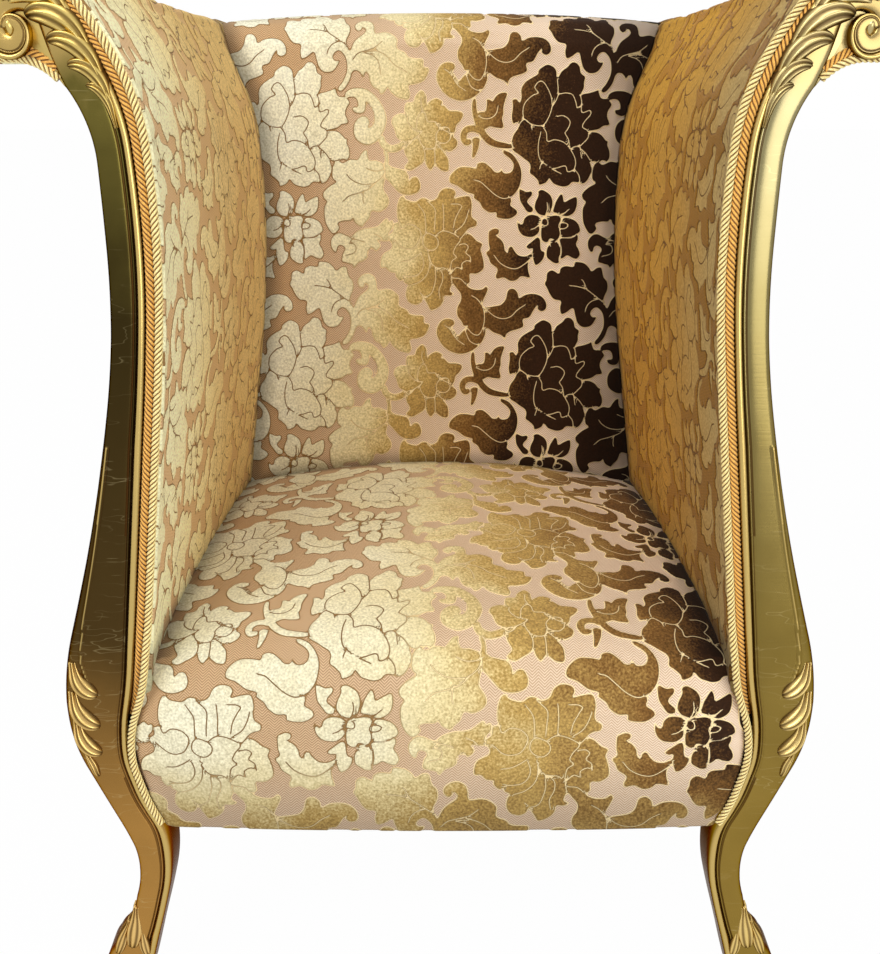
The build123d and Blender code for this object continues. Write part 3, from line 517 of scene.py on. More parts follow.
# Scroll leaf beside the peony
motif(
    [
        (350, 212), (373, 208), (400, 213), (423, 230), (440, 250), (453, 277), (457, 300), (453, 323),
        (443, 343), (427, 363), (400, 372), (377, 363), (363, 347), (360, 323), (367, 303), (383, 290),
        (400, 292), (408, 307), (403, 322), (416, 317), (423, 300), (420, 277), (410, 260), (398, 247),
        (397, 262), (393, 277), (380, 282), (363, 277), (357, 265), (366, 262), (373, 262), (373, 247),
        (363, 235), (340, 235), (337, 223),
    ],
    [(398, 247), (412, 262), (422, 288), (420, 308)],
    stems=[
        ([(442, 345), (448, 370), (472, 384), (500, 376), (514, 360)], 16, 20, 20, 14),
    ],
)
# Rosette
motif(
    [
        (537, 250), (543, 233), (560, 217), (573, 230), (575, 247), (577, 260), (580, 253), (593, 243),
        (607, 240), (623, 250), (617, 260), (627, 260), (642, 274), (663, 275), (680, 280), (683, 290),
        (673, 307), (663, 317), (660, 333), (653, 347), (663, 357), (667, 367), (660, 383), (640, 393),
        (623, 390), (632, 402), (640, 417), (640, 447), (620, 447), (600, 433), (587, 447), (575, 433),
        (570, 417), (563, 427), (547, 437), (527, 447), (510, 437), (522, 420), (513, 400), (508, 380),
        (510, 365), (490, 353), (480, 323), (473, 310), (478, 293), (497, 283), (513, 287), (520, 293),
        (512, 280), (512, 263), (517, 252),
    ],
    [(520, 293), (520, 307), (530, 322), (545, 333), (562, 334), (552, 345), (535, 357), (510, 365)],
    [(545, 333), (548, 300), (560, 280), (572, 285), (578, 305), (600, 306), (615, 314)],
    [(560, 240), (560, 262), (572, 285)],
    [(562, 334), (553, 350), (560, 370), (578, 384), (598, 382), (605, 362)],
    [
        (645, 340), (640, 325), (622, 322), (608, 335), (603, 350), (612, 365), (632, 368), (645, 355),
        (645, 340),
    ],
    [(600, 306), (612, 322), (655, 345)],
    [(598, 382), (600, 405), (600, 433)],
    [(605, 372), (625, 390), (640, 393)],
    [(535, 357), (528, 368), (510, 380)],
    [(560, 370), (570, 395), (570, 417)],
)
# Sprig with its small leaf
motif(
    [
        (748, 275), (752, 250), (750, 242), (763, 242), (768, 248), (778, 233), (792, 223), (812, 223),
        (807, 243), (802, 263), (802, 283), (798, 297), (802, 323), (778, 323), (762, 320), (745, 327),
        (725, 307), (722, 290), (730, 278),
    ],
    [(728, 290), (745, 297), (765, 295), (780, 282), (785, 262)],
    stems=[
        ([(716, 238), (716, 272), (726, 308), (745, 345), (775, 368), (832, 378)], 12, 16, 20, 22, 16),
        ([(738, 336), (716, 326), (693, 330), (684, 348), (692, 366), (708, 360)], 20, 20, 18),
        ([(722, 350), (720, 380), (712, 412)], 24, 18, 8),
    ],
)
# Leaf that turns over
motif(
    [
        (802, 387), (828, 397), (848, 423), (857, 453), (852, 490), (835, 517), (822, 523), (828, 533),
        (825, 547), (842, 560), (845, 573), (825, 587), (802, 588), (783, 583), (782, 570), (762, 570),
        (742, 557), (732, 540), (715, 527), (715, 517), (692, 510), (668, 493), (645, 483), (643, 467),
        (655, 450), (675, 437), (702, 437), (722, 440), (725, 427), (745, 423), (765, 437), (778, 450),
        (792, 450), (795, 440), (805, 453), (825, 450), (832, 430), (822, 413), (802, 397),
    ],
    [(718, 475), (735, 480), (755, 497), (780, 518), (805, 528), (832, 520)],
)
# Two leaves on one stem
motif(
    [
        (452, 437), (447, 427), (427, 418), (407, 417), (400, 400), (400, 387), (387, 392), (377, 407),
        (370, 415), (350, 413), (327, 423), (313, 415), (300, 427), (295, 453), (298, 470), (307, 478),
        (287, 490), (267, 510), (270, 527), (278, 535), (270, 553), (270, 580), (275, 603), (290, 627),
        (303, 628), (315, 613), (310, 600), (327, 593), (350, 592), (355, 583), (363, 600), (383, 610),
        (390, 600), (403, 587), (410, 567), (417, 563), (433, 567), (453, 557), (463, 540), (460, 523),
        (447, 503), (448, 487), (453, 470), (463, 477), (477, 493), (493, 510), (513, 518), (533, 517),
        (553, 507), (557, 487), (547, 467), (533, 467), (523, 477), (520, 460), (510, 447), (493, 442),
        (473, 437), (460, 428),
    ],
    [(453, 440), (445, 465), (420, 483), (395, 487), (370, 482), (350, 470), (340, 458)],
    [(425, 482), (405, 500), (370, 513), (345, 520), (328, 535)],
    [(398, 440), (420, 448), (445, 445), (452, 432)],
    [(453, 440), (453, 470)],
    [(388, 505), (386, 530), (388, 540)],
    stems=[
        ([(455, 445), (458, 410), (452, 388)], 12, 10, 10),
    ],
)
# Lily: petals round a middle, with a leaf
motif(
    [
        (898, 537), (905, 522), (907, 512), (905, 505), (917, 500), (930, 505), (943, 515), (950, 530),
        (950, 547), (945, 565), (937, 576), (920, 577), (905, 570), (896, 555),
    ],
    [(934, 541), (935, 558), (929, 577)],
)
motif(
    [
        (951, 565), (955, 547), (960, 532), (975, 510), (982, 522), (985, 535), (1000, 527),
        (1020, 519), (1024, 535), (1022, 552), (1015, 567), (1000, 577), (982, 577), (965, 570),
    ],
    [(970, 571), (985, 569), (998, 558)],
)
motif(
    [
        (980, 590), (982, 582), (1000, 582), (1020, 590), (1032, 605), (1035, 622), (1025, 630),
        (1012, 637), (995, 640), (980, 640), (972, 627), (965, 610),
    ],
    [(967, 607), (974, 598), (990, 598), (998, 605), (988, 614), (973, 614), (967, 607)],
)
motif(
    [
        (972, 645), (990, 642), (1012, 640), (1027, 630), (1029, 647), (1024, 660), (1032, 675),
        (1036, 692), (1027, 705), (1012, 702), (997, 695), (987, 702), (976, 705), (979, 685),
        (977, 665),
    ],
)
motif(
    [
        (955, 650), (965, 652), (975, 670), (976, 690), (972, 705), (974, 717), (960, 719), (945, 710),
        (935, 700), (934, 680), (940, 662), (947, 650),
    ],
    [(944, 640), (940, 655), (945, 665)],
)
motif(
    [
        (907, 640), (915, 650), (917, 670), (920, 680), (929, 685), (927, 702), (917, 717), (902, 725),
        (895, 710), (891, 690), (892, 675), (882, 677), (872, 669), (887, 655),
    ],
)
motif(
    [
        (912, 625), (895, 640), (877, 641), (860, 635), (850, 622), (845, 605), (846, 592), (855, 602),
        (862, 600), (865, 587), (877, 576), (895, 574), (910, 580), (917, 590), (912, 602),
    ],
    [(888, 618), (900, 613), (914, 600)],
)
motif(
    [
        (917, 605), (915, 590), (925, 581), (950, 576), (965, 575), (977, 585), (970, 607), (975, 630),
        (965, 650), (945, 645), (937, 657), (922, 652), (916, 635),
    ],
    [(917, 600), (922, 585), (934, 588), (937, 602), (928, 607), (917, 600)],
)
motif(
    [
        (850, 500), (860, 502), (872, 507), (887, 505), (889, 517), (877, 531), (877, 540), (892, 555),
        (890, 567), (875, 567), (862, 550), (852, 532),
    ],
)
# Sprig of scrolls
motif(
    [
        (350, 640), (363, 627), (387, 617), (417, 613), (433, 607), (447, 593), (457, 587), (463, 597),
        (473, 593), (473, 613), (460, 633), (467, 650), (447, 653), (427, 650), (437, 667), (423, 683),
        (413, 673), (397, 683), (397, 700), (387, 710), (370, 717), (357, 733), (352, 723), (340, 720),
        (333, 717), (320, 713), (323, 690), (330, 677), (323, 667), (310, 667), (303, 687), (290, 673),
        (288, 650), (300, 633), (317, 628), (337, 637),
    ],
    [(345, 655), (355, 647), (370, 650), (388, 656)],
    [(345, 660), (358, 662), (364, 675), (358, 688), (335, 695)],
    [(420, 633), (435, 640), (445, 650)],
    [(397, 683), (410, 673)],
)
# Chrysanthemum
motif(
    [
        (605, 528), (615, 508), (632, 498), (655, 502), (662, 515), (657, 528), (678, 523), (702, 522),
        (710, 545), (708, 572), (712, 585), (725, 595), (722, 610), (705, 615), (692, 628), (708, 635),
        (725, 652), (742, 662), (737, 678), (742, 695), (747, 718), (745, 738), (725, 752), (705, 752),
        (705, 778), (688, 782), (672, 768), (654, 766), (652, 780), (645, 802), (658, 812), (645, 818),
        (628, 818), (625, 835), (612, 852), (588, 862), (578, 845), (565, 825), (558, 838), (542, 845),
        (522, 838), (512, 818), (515, 795), (520, 785), (508, 778), (505, 768), (495, 772), (482, 758),
        (482, 748), (465, 745), (452, 732), (438, 732), (437, 712), (445, 692), (468, 678), (472, 664),
        (465, 652), (462, 638), (475, 625), (478, 602), (492, 598), (488, 582), (488, 552), (495, 528),
        (505, 522), (515, 532), (542, 538), (558, 528), (572, 528), (588, 535),
    ],
    [
        (492, 598), (500, 618), (515, 606), (532, 606), (548, 615), (558, 632), (552, 655), (540, 672),
        (518, 678), (500, 672), (488, 660), (478, 650),
    ],
    [(572, 625), (572, 600), (568, 572), (552, 548)],
    [(598, 622), (600, 590), (600, 560), (580, 538)],
    [(625, 618), (626, 580), (624, 545)],
    [(655, 615), (660, 590), (672, 565), (680, 552), (668, 545), (650, 545)],
    [(660, 625), (680, 610), (692, 590), (700, 565)],
    [
        (565, 640), (577, 630), (600, 640), (610, 655), (606, 672), (592, 682), (574, 676), (563, 660),
        (565, 640),
    ],
    [(560, 695), (566, 720), (560, 742), (545, 756), (520, 760), (505, 757)],
    [(580, 692), (583, 728), (575, 755), (555, 775), (530, 785)],
    [(585, 700), (590, 720), (605, 732), (630, 735), (648, 752)],
    [(600, 732), (602, 765), (597, 790), (588, 812), (570, 820), (556, 810)],
    [(606, 733), (622, 750), (622, 775), (612, 800), (615, 825)],
    [(500, 715), (520, 712), (540, 702), (556, 690)],
    [
        (600, 640), (620, 625), (645, 628), (675, 648), (662, 670), (655, 690), (665, 702), (650, 715),
        (645, 748),
    ],
    [(675, 664), (690, 662), (700, 672), (692, 688), (705, 700), (708, 716)],
    [(708, 716), (695, 712), (680, 722), (682, 738), (665, 732), (648, 750)],
    [(692, 628), (675, 648)],
)
# Small leaf
motif(
    [
        (760, 627), (767, 620), (780, 615), (792, 620), (790, 633), (782, 637), (797, 647), (807, 663),
        (810, 680), (818, 687), (820, 673), (830, 668), (840, 683), (853, 695), (873, 697), (887, 690),
        (893, 697), (887, 707), (880, 723), (882, 743), (887, 763), (870, 760), (857, 760), (847, 770),
        (827, 773), (807, 763), (787, 767), (782, 757), (787, 737), (767, 720), (760, 703), (752, 688),
        (763, 678), (760, 660),
    ],
    [(778, 697), (795, 718), (820, 732), (845, 735), (868, 722), (888, 704)],
)
# Two acanthus leaves that spring from one stem
motif(
    [
        (347, 840), (343, 823), (353, 797), (352, 773), (340, 757), (333, 730), (317, 730), (303, 740),
        (293, 727), (277, 715), (250, 713), (247, 727), (223, 725), (207, 733), (203, 748), (183, 738),
        (167, 747), (165, 767), (160, 780), (167, 793), (177, 813), (190, 828), (210, 833), (208, 853),
        (213, 873), (230, 867), (248, 855), (255, 877), (263, 900), (280, 913), (303, 910), (317, 893),
        (322, 880), (310, 880), (303, 870), (310, 857), (323, 853), (337, 867), (343, 887), (342, 913),
        (330, 940), (317, 957), (320, 967), (333, 963), (350, 940), (360, 913), (373, 910), (383, 917),
        (390, 930), (398, 913), (407, 923), (410, 940), (420, 957), (433, 963), (442, 977), (453, 970),
        (462, 957), (473, 973), (493, 987), (520, 993), (527, 977), (523, 953), (547, 948), (570, 937),
        (583, 907), (567, 900), (565, 880), (540, 877), (523, 873), (513, 860), (490, 847), (490, 820),
        (473, 803), (453, 797), (427, 800), (423, 777), (417, 760), (400, 750), (380, 755), (367, 770),
        (370, 787), (380, 793), (388, 785), (387, 777), (397, 784), (397, 797), (373, 817), (362, 833),
        (353, 853),
    ],
    [(347, 840), (325, 823), (305, 808), (290, 795), (280, 775), (275, 768)],
    [(305, 808), (285, 795), (262, 788), (238, 785)],
    [(325, 825), (305, 832), (292, 845), (286, 862)],
    [(362, 878), (375, 862), (400, 853), (425, 845), (447, 828)],
    [(400, 853), (430, 855), (460, 870), (480, 893), (517, 915)],
    [(395, 860), (420, 868), (435, 885), (442, 920)],
)
# Acanthus with a scroll under the chrysanthemum
motif(
    [
        (647, 747), (653, 763), (677, 767), (700, 790), (720, 798), (743, 797), (753, 788), (760, 797),
        (753, 817), (747, 830), (743, 847), (757, 852), (780, 848), (800, 843), (813, 827), (820, 800),
        (837, 795), (850, 807), (855, 823), (873, 813), (900, 810), (923, 818), (937, 837), (937, 857),
        (923, 865), (910, 857), (912, 845), (900, 860), (887, 883), (867, 890), (870, 910), (853, 920),
        (830, 927), (817, 937), (813, 953), (803, 940), (777, 930), (757, 917), (753, 937), (743, 960),
        (723, 980), (700, 993), (673, 997), (643, 987), (620, 967), (605, 937), (607, 913), (620, 893),
        (640, 887), (657, 893), (658, 907), (650, 912), (657, 923), (670, 940), (680, 930), (690, 920),
        (700, 910), (687, 910), (680, 897), (667, 877), (667, 853), (677, 833), (677, 813), (663, 793),
        (650, 773),
    ],
    [
        (713, 818), (730, 830), (745, 855), (750, 880), (747, 910), (735, 935), (722, 937), (710, 930),
        (700, 918),
    ],
    [(745, 848), (765, 868), (785, 882), (808, 887), (830, 880), (850, 860), (872, 845)],
    [(690, 920), (698, 940), (705, 955), (720, 965), (735, 967)],
    [(630, 908), (645, 920), (665, 950), (688, 967)],
)

# Fabric panels
PADDED_SPACING = 2.4
PLAIN_SPACING = 4.0
FOLD = 9.0
PANEL_FOLD = 3.0
PILE_HEIGHT = 1.2
PILE_SLOPE = 1.2
ARM_TAIL_Z = 330.0
BACK_TAIL_Z = 380.0
SPAN = 2 * ARC_STEPS
ROLL_TOP = 4 * SPAN
HALVINGS = 30
arm_front = smooth_points(front_arm_line(ARM_TAIL_Z))
arm_rear = smooth_points(rear_arm_line(ARM_TAIL_Z))


def upright_places(points, y=PAD_FRONT_Y):
    """Places in space of a flat line in an upright plane across the chair."""
    return np.c_[points[:, 0], np.full(len(points), y), points[:, 1]]


def rear_places(points, behind=BACK_FRAME):
    """Places in space of a flat line on the slant, so far behind the front of the back."""
    base = back_depth(0, behind)
    return np.c_[points[:, 0], base + points[:, 1] * sin(RECLINE), points[:, 1] * cos(RECLINE)]


arm_front_3d = upright_places(arm_front)
arm_rear_3d = rear_places(arm_rear)


def arm_face(y, z):
    """Half width between the arms at a depth and height."""
    steps = np.arange(len(arm_front_3d))
    low, high = np.zeros_like(y), np.full_like(y, float(ROLL_TOP))
    for _ in range(HALVINGS):
        at = (low + high) / 2
        front, rear = picked(arm_front_3d, at, steps), picked(arm_rear_3d, at, steps)
        share = np.clip((y - front[..., 1]) / (rear[..., 1] - front[..., 1]), 0, 1)
        below = front[..., 2] + share * (rear[..., 2] - front[..., 2]) < z
        low, high = np.where(below, at, low), np.where(below, high, at)
    return front[..., 0] + share * (rear[..., 0] - front[..., 0])


def count_for(length, spacing):
    """Number of points that part a length into steps of about the spacing."""
    return int(round(length / spacing)) + 1


SECTIONS = 13
EDGE_LAPS = 8
FIRST_EDGE = 0.8


def span_lines(stations_at, half, width, edge_of):
    """Places across a pad of about a width, with the cloth heights up them.

    stations_at gives the section line at a share of the half width, and edge_of the half width at a
    depth and height.
    """
    rows = count_for(lengths(smooth_points(stations_at(0)))[-1], PADDED_SPACING)
    columns = count_for(width, PADDED_SPACING)
    run = np.linspace(0, 1, rows)
    table = []
    for share in np.linspace(0, 1, SECTIONS):
        points = smooth_points(stations_at(share))
        table.append(along(points, run * lengths(points)[-1]))
    table = np.array(table)

    def section(x):
        """Depth and height at a half width, for each row."""
        at = np.clip(np.abs(x) / half * (SECTIONS - 1), 0, SECTIONS - 1)
        low = np.minimum(at.astype(int), SECTIONS - 2)
        part = (at - low)[..., None]
        row = np.arange(rows) if x.ndim == 1 else np.arange(rows)[:, None]
        return table[low, row] * (1 - part) + table[low + 1, row] * part

    edge = np.full(rows, half * FIRST_EDGE)
    for _ in range(EDGE_LAPS):
        spot = section(edge)
        edge = edge_of(spot[:, 0], spot[:, 1])
    x = np.linspace(-1, 1, columns)[None, :] * edge[:, None]
    up = lengths(table[0])[:, None] * np.ones((1, columns))
    return np.dstack([x, section(x)]), up


ARM_LAP = 4.0
SEAT_LAP = 4.0
SEAT_CORD_SHOW = 2.5
BEFORE_CORD = 2.0
BEHIND_CORD = 14.0
gold_points = smooth_points(gold_line)


def seat_edge(y, z):
    """Half width of the seat: to the cord in front of the posts and into the arms behind them."""
    inside = arm_face(y, z) + ARM_LAP
    front = np.interp(z, gold_points[:, 1], gold_points[:, 0]) - SEAT_CORD_SHOW
    beside = np.where(y > PAD_FRONT_Y - BEFORE_CORD, np.minimum(inside, front), front)
    return np.where(y > PAD_FRONT_Y + BEHIND_CORD, inside, beside)


def back_edge(y, z):
    """Half width of the back, into the arms and to its own end above them."""
    return np.minimum(arm_face(y, z) + ARM_LAP, BACK_HALF)


def seat_line(share):
    """Top and front of the seat at a share of its half width."""
    crown = 1 - share**2
    face_y = POST_FACE_Y - SEAT_FRONT_EDGE - (SEAT_FRONT_PROUD - SEAT_FRONT_EDGE) * crown
    top_z = SEAT_CREASE_Z + SEAT_CROWN * crown
    front_z = top_z - SEAT_FRONT_FALL
    rear_z = top_z - SEAT_REAR_FALL
    return [
        (face_y, SEAT_BOTTOM_Z, 0),
        (face_y, front_z - SEAT_ROLL, 0),
        (face_y + SEAT_ROLL, front_z, OUT - SEAT_FRONT_RISE),
        ((face_y + SEAT_ROLL + CREASE_Y) / 2, top_z, OUT),
        (back_depth(rear_z, 0) + SEAT_LAP, rear_z, OUT + SEAT_REAR_DIP),
    ]


def back_line(share):
    """Front and top of the back at a share of its half width."""
    top_z = BACK_TOP_Z - BACK_ARCH * share**2
    middle_z = (SEAT_CREASE_Z + top_z) / 2
    crown = BACK_CROWN * (1 - BACK_CROWN_FADE * share**2)
    tilt = degrees(RECLINE)
    return [
        (back_depth(BACK_TAIL_Z, 0), BACK_TAIL_Z, tilt),
        (back_depth(SEAT_CREASE_Z, 0), SEAT_CREASE_Z, tilt),
        (back_depth(middle_z, -crown), middle_z, tilt),
        (back_depth(top_z - BACK_ROLL, 0), top_z - BACK_ROLL, tilt),
        (back_depth(top_z, BACK_ROLL), top_z, OUT),
        (back_depth(top_z, BACK_FRAME), top_z, OUT),
    ]


def fabric_piece(name, places, across, up, fold, origin=None):
    """A closed panel of fabric with its cloth places, and the damask where it has an origin.

    fold is how far the edges turn in behind the face, along its normals.
    """
    work = bmesh.new()
    fields = [("cloth_u", across), ("cloth_v", up)]
    if origin is not None:
        tile = across - origin[0], up - origin[1]
        pile, line = damask.pile, damask.line
        for layer, field in (("pile", pile), ("line", line), ("near", np.abs(line))):
            fields.append((layer, damask.sample(field, *tile)))
        raised = PILE_HEIGHT * ease(fields[2][1], -PILE_SLOPE, PILE_SLOPE)
        places = places + raised[..., None] * grid_normals(places)
    layers = [(work.verts.layers.float.new(layer), folded(values)) for layer, values in fields]
    order = grid_into(work, folded(places, places - fold * grid_normals(places)), layers)
    close_behind(work, order)
    return finish_mesh(work, name)


# Fabric is drawn over its padding: a coarse net, held at its edges, is blown up a little and settles
NET_SPACING = 13.0
NET_LEAST = 4
NET_FRAMES = 20
NET_LIMIT = 4.0
NET_SETTINGS = {
    "quality": 6,
    "mass": 0.4,
    "tension_stiffness": 30,
    "compression_stiffness": 30,
    "shear_stiffness": 15,
    "bending_stiffness": 1,
    "vertex_group_mass": "held",
    "use_pressure": True,
    "uniform_pressure_force": 4.0,
}


def mesh_places(mesh):
    """Places of the vertices of a mesh, in millimetres."""
    flat = np.empty(3 * len(mesh.vertices))
    mesh.vertices.foreach_get("co", flat)
    return flat.reshape(-1, 3) / MM


def blown_up(net):
    """How far each place of a net moves as it is blown up, held at its edges."""
    work = bmesh.new()
    order = grid_into(work, net)
    work.verts.index_update()
    index = np.vectorize(lambda vertex: vertex.index)(order)
    mesh = bpy.data.meshes.new("net")
    work.to_mesh(mesh)
    work.free()
    cloth = bpy.data.objects.new("net", mesh)
    scene = bpy.context.scene
    scene.collection.objects.link(cloth)
    held = cloth.vertex_groups.new(name="held")
    edge = np.concatenate([index[0], index[-1], index[:, 0], index[:, -1]])
    held.add([int(i) for i in np.unique(edge)], 1.0, "REPLACE")
    modifier = cloth.modifiers.new("cloth", "CLOTH")
    for key, value in NET_SETTINGS.items():
        setattr(modifier.settings, key, value)
    modifier.settings.effector_weights.gravity = 0.0
    modifier.collision_settings.use_collision = False
    for tick in range(1, NET_FRAMES + 1):
        scene.frame_set(tick)
    shaped = cloth.evaluated_get(bpy.context.evaluated_depsgraph_get())
    moved = mesh_places(shaped.data)[index] - net
    scene.frame_set(1)
    bpy.data.objects.remove(cloth)
    return moved


def settled(places):
    """The same places moved as the padding pushes the fabric out."""
    picks = []
    for axis in (0, 1):
        count = places.shape[axis]
        step = np.linalg.norm(np.diff(places, axis=axis), axis=2).mean()
        knots = max(int(count * step / NET_SPACING), NET_LEAST)
        picks.append(np.rint(np.linspace(0, count - 1, knots)).astype(int))
    moved = blown_up(places[np.ix_(*picks)])
    size = np.linalg.norm(moved, axis=2)[..., None]
    moved *= np.minimum(1, NET_LIMIT / np.maximum(size, TINY))
    low, share = [], []
    for axis, pick in enumerate(picks):
        at = np.interp(np.arange(places.shape[axis]), pick, np.arange(len(pick)))
        low.append(np.minimum(at.astype(int), len(pick) - 2))
        share.append(ease(at - low[axis], 0, 1))
    down, across = share[0][:, None, None], share[1][None, :, None]
    return places + between(lambda r, c: moved[np.ix_(r, c)], *low, down, across)


PEONY = np.array((200.0, -330.0)) * damask.units
SEAT_WIDTH = 600.0
SEAT_FLOWER_X = -69.0
SEAT_FLOWER_BEHIND = 47.0
BACK_WIDTH = 500.0
BACK_FLOWER = (-180.0, 863.0)
ARM_FLOWER = (150.0, 330.0)
EDGE_TUCK = 7.0
EDGE_TUCK_WIDTH = 16.0
EDGE_ROLLED_MOST = 0.999
FACE_BEGINS = 30.0
FACE_FULL = 4.0


def origin_for(across, up):
    """Origin of the repeat that brings a large flower to a place on the cloth."""
    return across - PEONY[0], up - PEONY[1]


seat_places, seat_up = span_lines(seat_line, SEAT_HALF, SEAT_WIDTH, seat_edge)
edge_share = np.abs(np.linspace(-1, 1, seat_places.shape[1]))[None, :]
from_edge = (1 - edge_share) * np.abs(seat_places[:, -1:, 0])
front_face = ease(-seat_places[..., 1], -(PAD_FRONT_Y + FACE_BEGINS), -(PAD_FRONT_Y - FACE_FULL))
rolled = np.clip(1 - from_edge / EDGE_TUCK_WIDTH, 0, EDGE_ROLLED_MOST)
seat_places[..., 1] += front_face * EDGE_TUCK * (1 - np.sqrt(1 - rolled**2))
seat_places = settled(seat_places)
seat_middle = smooth_points(seat_line(0))
flower_up = np.interp(
    POST_FACE_Y + SEAT_FLOWER_BEHIND, seat_middle[SPAN:, 0], lengths(seat_middle)[SPAN:]
)
seat_piece = fabric_piece(
    "seat_upholstery",
    seat_places,
    seat_places[..., 0],
    seat_up,
    FOLD,
    origin_for(SEAT_FLOWER_X, flower_up),
)

back_places, back_up = span_lines(back_line, BACK_HALF, BACK_WIDTH, back_edge)
back_places = settled(back_places)
back_piece = fabric_piece(
    "back_upholstery",
    back_places,
    back_places[..., 0],
    back_up + on_slant(BACK_TAIL_Z),
    FOLD,
    origin_for(*BACK_FLOWER),
)


def ruled_places(front, rear, spacing):
    """Places on the lines that join two edges, with the cloth places along and up them."""
    run = (lengths(front) + lengths(rear)) / 2
    depth = np.linalg.norm(rear - front, axis=1).mean()
    up = np.linspace(0, run[-1], count_for(run[-1], spacing))[:, None]
    across = np.linspace(0, depth, count_for(depth, spacing))[None, :]
    steps = np.arange(len(run))
    at = np.interp(up, run, steps)
    share = np.linspace(0, 1, across.shape[1])[None, :, None]
    places = picked(front, at, steps) * (1 - share) + picked(rear, at, steps) * share
    return places, *np.broadcast_arrays(across, up)


arm_places, arm_across, arm_up = ruled_places(arm_front_3d, arm_rear_3d, PADDED_SPACING)
arm_places = settled(arm_places)
flower_across, flower_up = ARM_FLOWER
arm_pieces = [
    fabric_piece(
        f"{side}_arm_upholstery",
        mirrored(arm_places, mirror),
        mirror * arm_across,
        arm_up,
        -mirror * FOLD,
        origin_for(mirror * flower_across, flower_up),
    )
    for side, mirror in SIDES
]

REAR_WIDTH = 620.0
REAR_LAP = 5.0
panel_line = shifted(post_outer, CORD_DIAMETER + 2 * CLEARANCE)
panel_front = upright_places(smooth_points(led_in(panel_line, PANEL_FRONT_RISE)), POST_REAR_Y)
panel_rear = smooth_points(led_in(outer_rear_line, PANEL_REAR_RISE))
panel_places, panel_across, panel_up = ruled_places(panel_front, rear_places(panel_rear), PLAIN_SPACING)
outside_pieces = [
    fabric_piece(
        f"{side}_outside_fabric",
        mirrored(panel_places, mirror),
        panel_across,
        panel_up,
        mirror * PANEL_FOLD,
    )
    for side, mirror in SIDES
]

rear_outline = np.vstack([panel_rear[::-1], arm_rear[len(arm_rear) - 2 * SPAN : ROLL_TOP - 1 : -1]])
rear_outline = rear_outline[np.argsort(rear_outline[:, 1])]
rear_low = on_slant(SEAT_BOTTOM_Z)
rear_height = on_slant(BACK_TOP_Z - SEAT_BOTTOM_Z)
rear_share = np.linspace(0, 1, count_for(rear_height, PLAIN_SPACING))[:, None]
rear_half = np.interp(rear_share * rear_height + rear_low, rear_outline[:, 1], rear_outline[:, 0])
rear_x = np.linspace(-1, 1, count_for(REAR_WIDTH, PLAIN_SPACING))[None, :] * rear_half
rear_top = on_slant(BACK_TOP_Z - BACK_ARCH * (rear_x / BACK_HALF) ** 2)
rear_up = rear_low + rear_share * (rear_top - rear_low)
rear_flat = np.c_[rear_x.ravel(), rear_up.ravel()]
rear_spots = rear_places(rear_flat, BACK_FRAME + REAR_LAP).reshape(*rear_x.shape, 3)
outside_pieces.append(fabric_piece("outside_back_fabric", rear_spots, rear_x, rear_up, -PANEL_FOLD))

# Posts: a moulded strip from the toe to the shoulder and on round a ram's horn
POST_STEP = 1.6
POST_LENGTH = 950.0
BEAD, QUIRK, FILLET = 8.6, 9.6, 11.6
BEAD_BASE, BEAD_RISE = -5.0, 5.5
QUIRK_LEVEL = -5.2
FILLET_LEVEL = -2.4
FACE_EDGE, FACE_SWELL = -3.6, 0.9
FACE_LEAN, FACE_FULLNESS = 0.8, 0.22
FACE_DROP, FACE_TURN = 5.0, 14
MOULDING_COLUMNS = 26
FACE_COLUMNS = 30
FACE_SHADE, FACE_SHADE_WIDTH = 0.8, 1.2
EDGE_BEAD_HALF = 1.5
EDGE_BEAD_RISE, EDGE_GROOVE_DEPTH = 1.6, 0.8
EDGE_GROOVE_AT = 1.5
EDGE_GROOVE_SHADE, EDGE_BEAD_GLEAM = 0.7, 0.8
EDGE_BEAD_HEIGHTS = (372, 400, 450, 560, 700)
EDGE_BEAD_IN = (26, 15, 9.5, 6, 3.5)
EDGE_BEAD_START, EDGE_BEAD_END = (372, 384), (660, 700)
VOLUTE_PROUD = 8.0
HIP_HEIGHTS = (26, 45, 62, 84, 115, 180, 240, 300, 350, 420, 500, 600, 720)
HIP_SWELL = (-3, -8, -7, -3, 0, 0, 2.5, 5, 6, 4.5, 3, 2, 0)
LEVEL_SHARE, LEVEL_Z = 0.86, 840.0

inner_points = smooth_points(leg_inner + shifted(arm_top[:4], CORDS))
outer_points = smooth_points(turned_back(post_outer + leg_outer))
neck_in, neck_out = inner_points[-1], outer_points[-1]
neck = (neck_in + neck_out) / 2
neck_width = np.linalg.norm(neck_in - neck_out)
neck_heading = degrees(atan2(neck_in[1] - neck_out[1], neck_out[0] - neck_in[0]))
horn = [
    (neck[0], neck[1], neck_heading, neck_width),
    (335.0, 1001.0, 90.0, 26.0),
    (359.0, 979.0, 180.0, 26.0),
    (344.5, 961.5, 270.0, 20.0),
    (334.0, 973.5, 360.0, 13.0),
    (342.5, 982.0, 450.0, 9.0),
    (348.0, 976.0, 540.0, 5.0),
]
body_rows = count_for(POST_LENGTH, POST_STEP)


def body_edge(points):
    """Edge of the post from the toe to the neck, level with the other edge up to a height."""
    rise = np.linspace(0, 1, body_rows)
    z = np.interp(rise, [0, LEVEL_SHARE, 1], [GLIDE_HEIGHT, LEVEL_Z, points[-1, 1]])
    return np.c_[np.interp(z, points[:, 1], points[:, 0]), z]


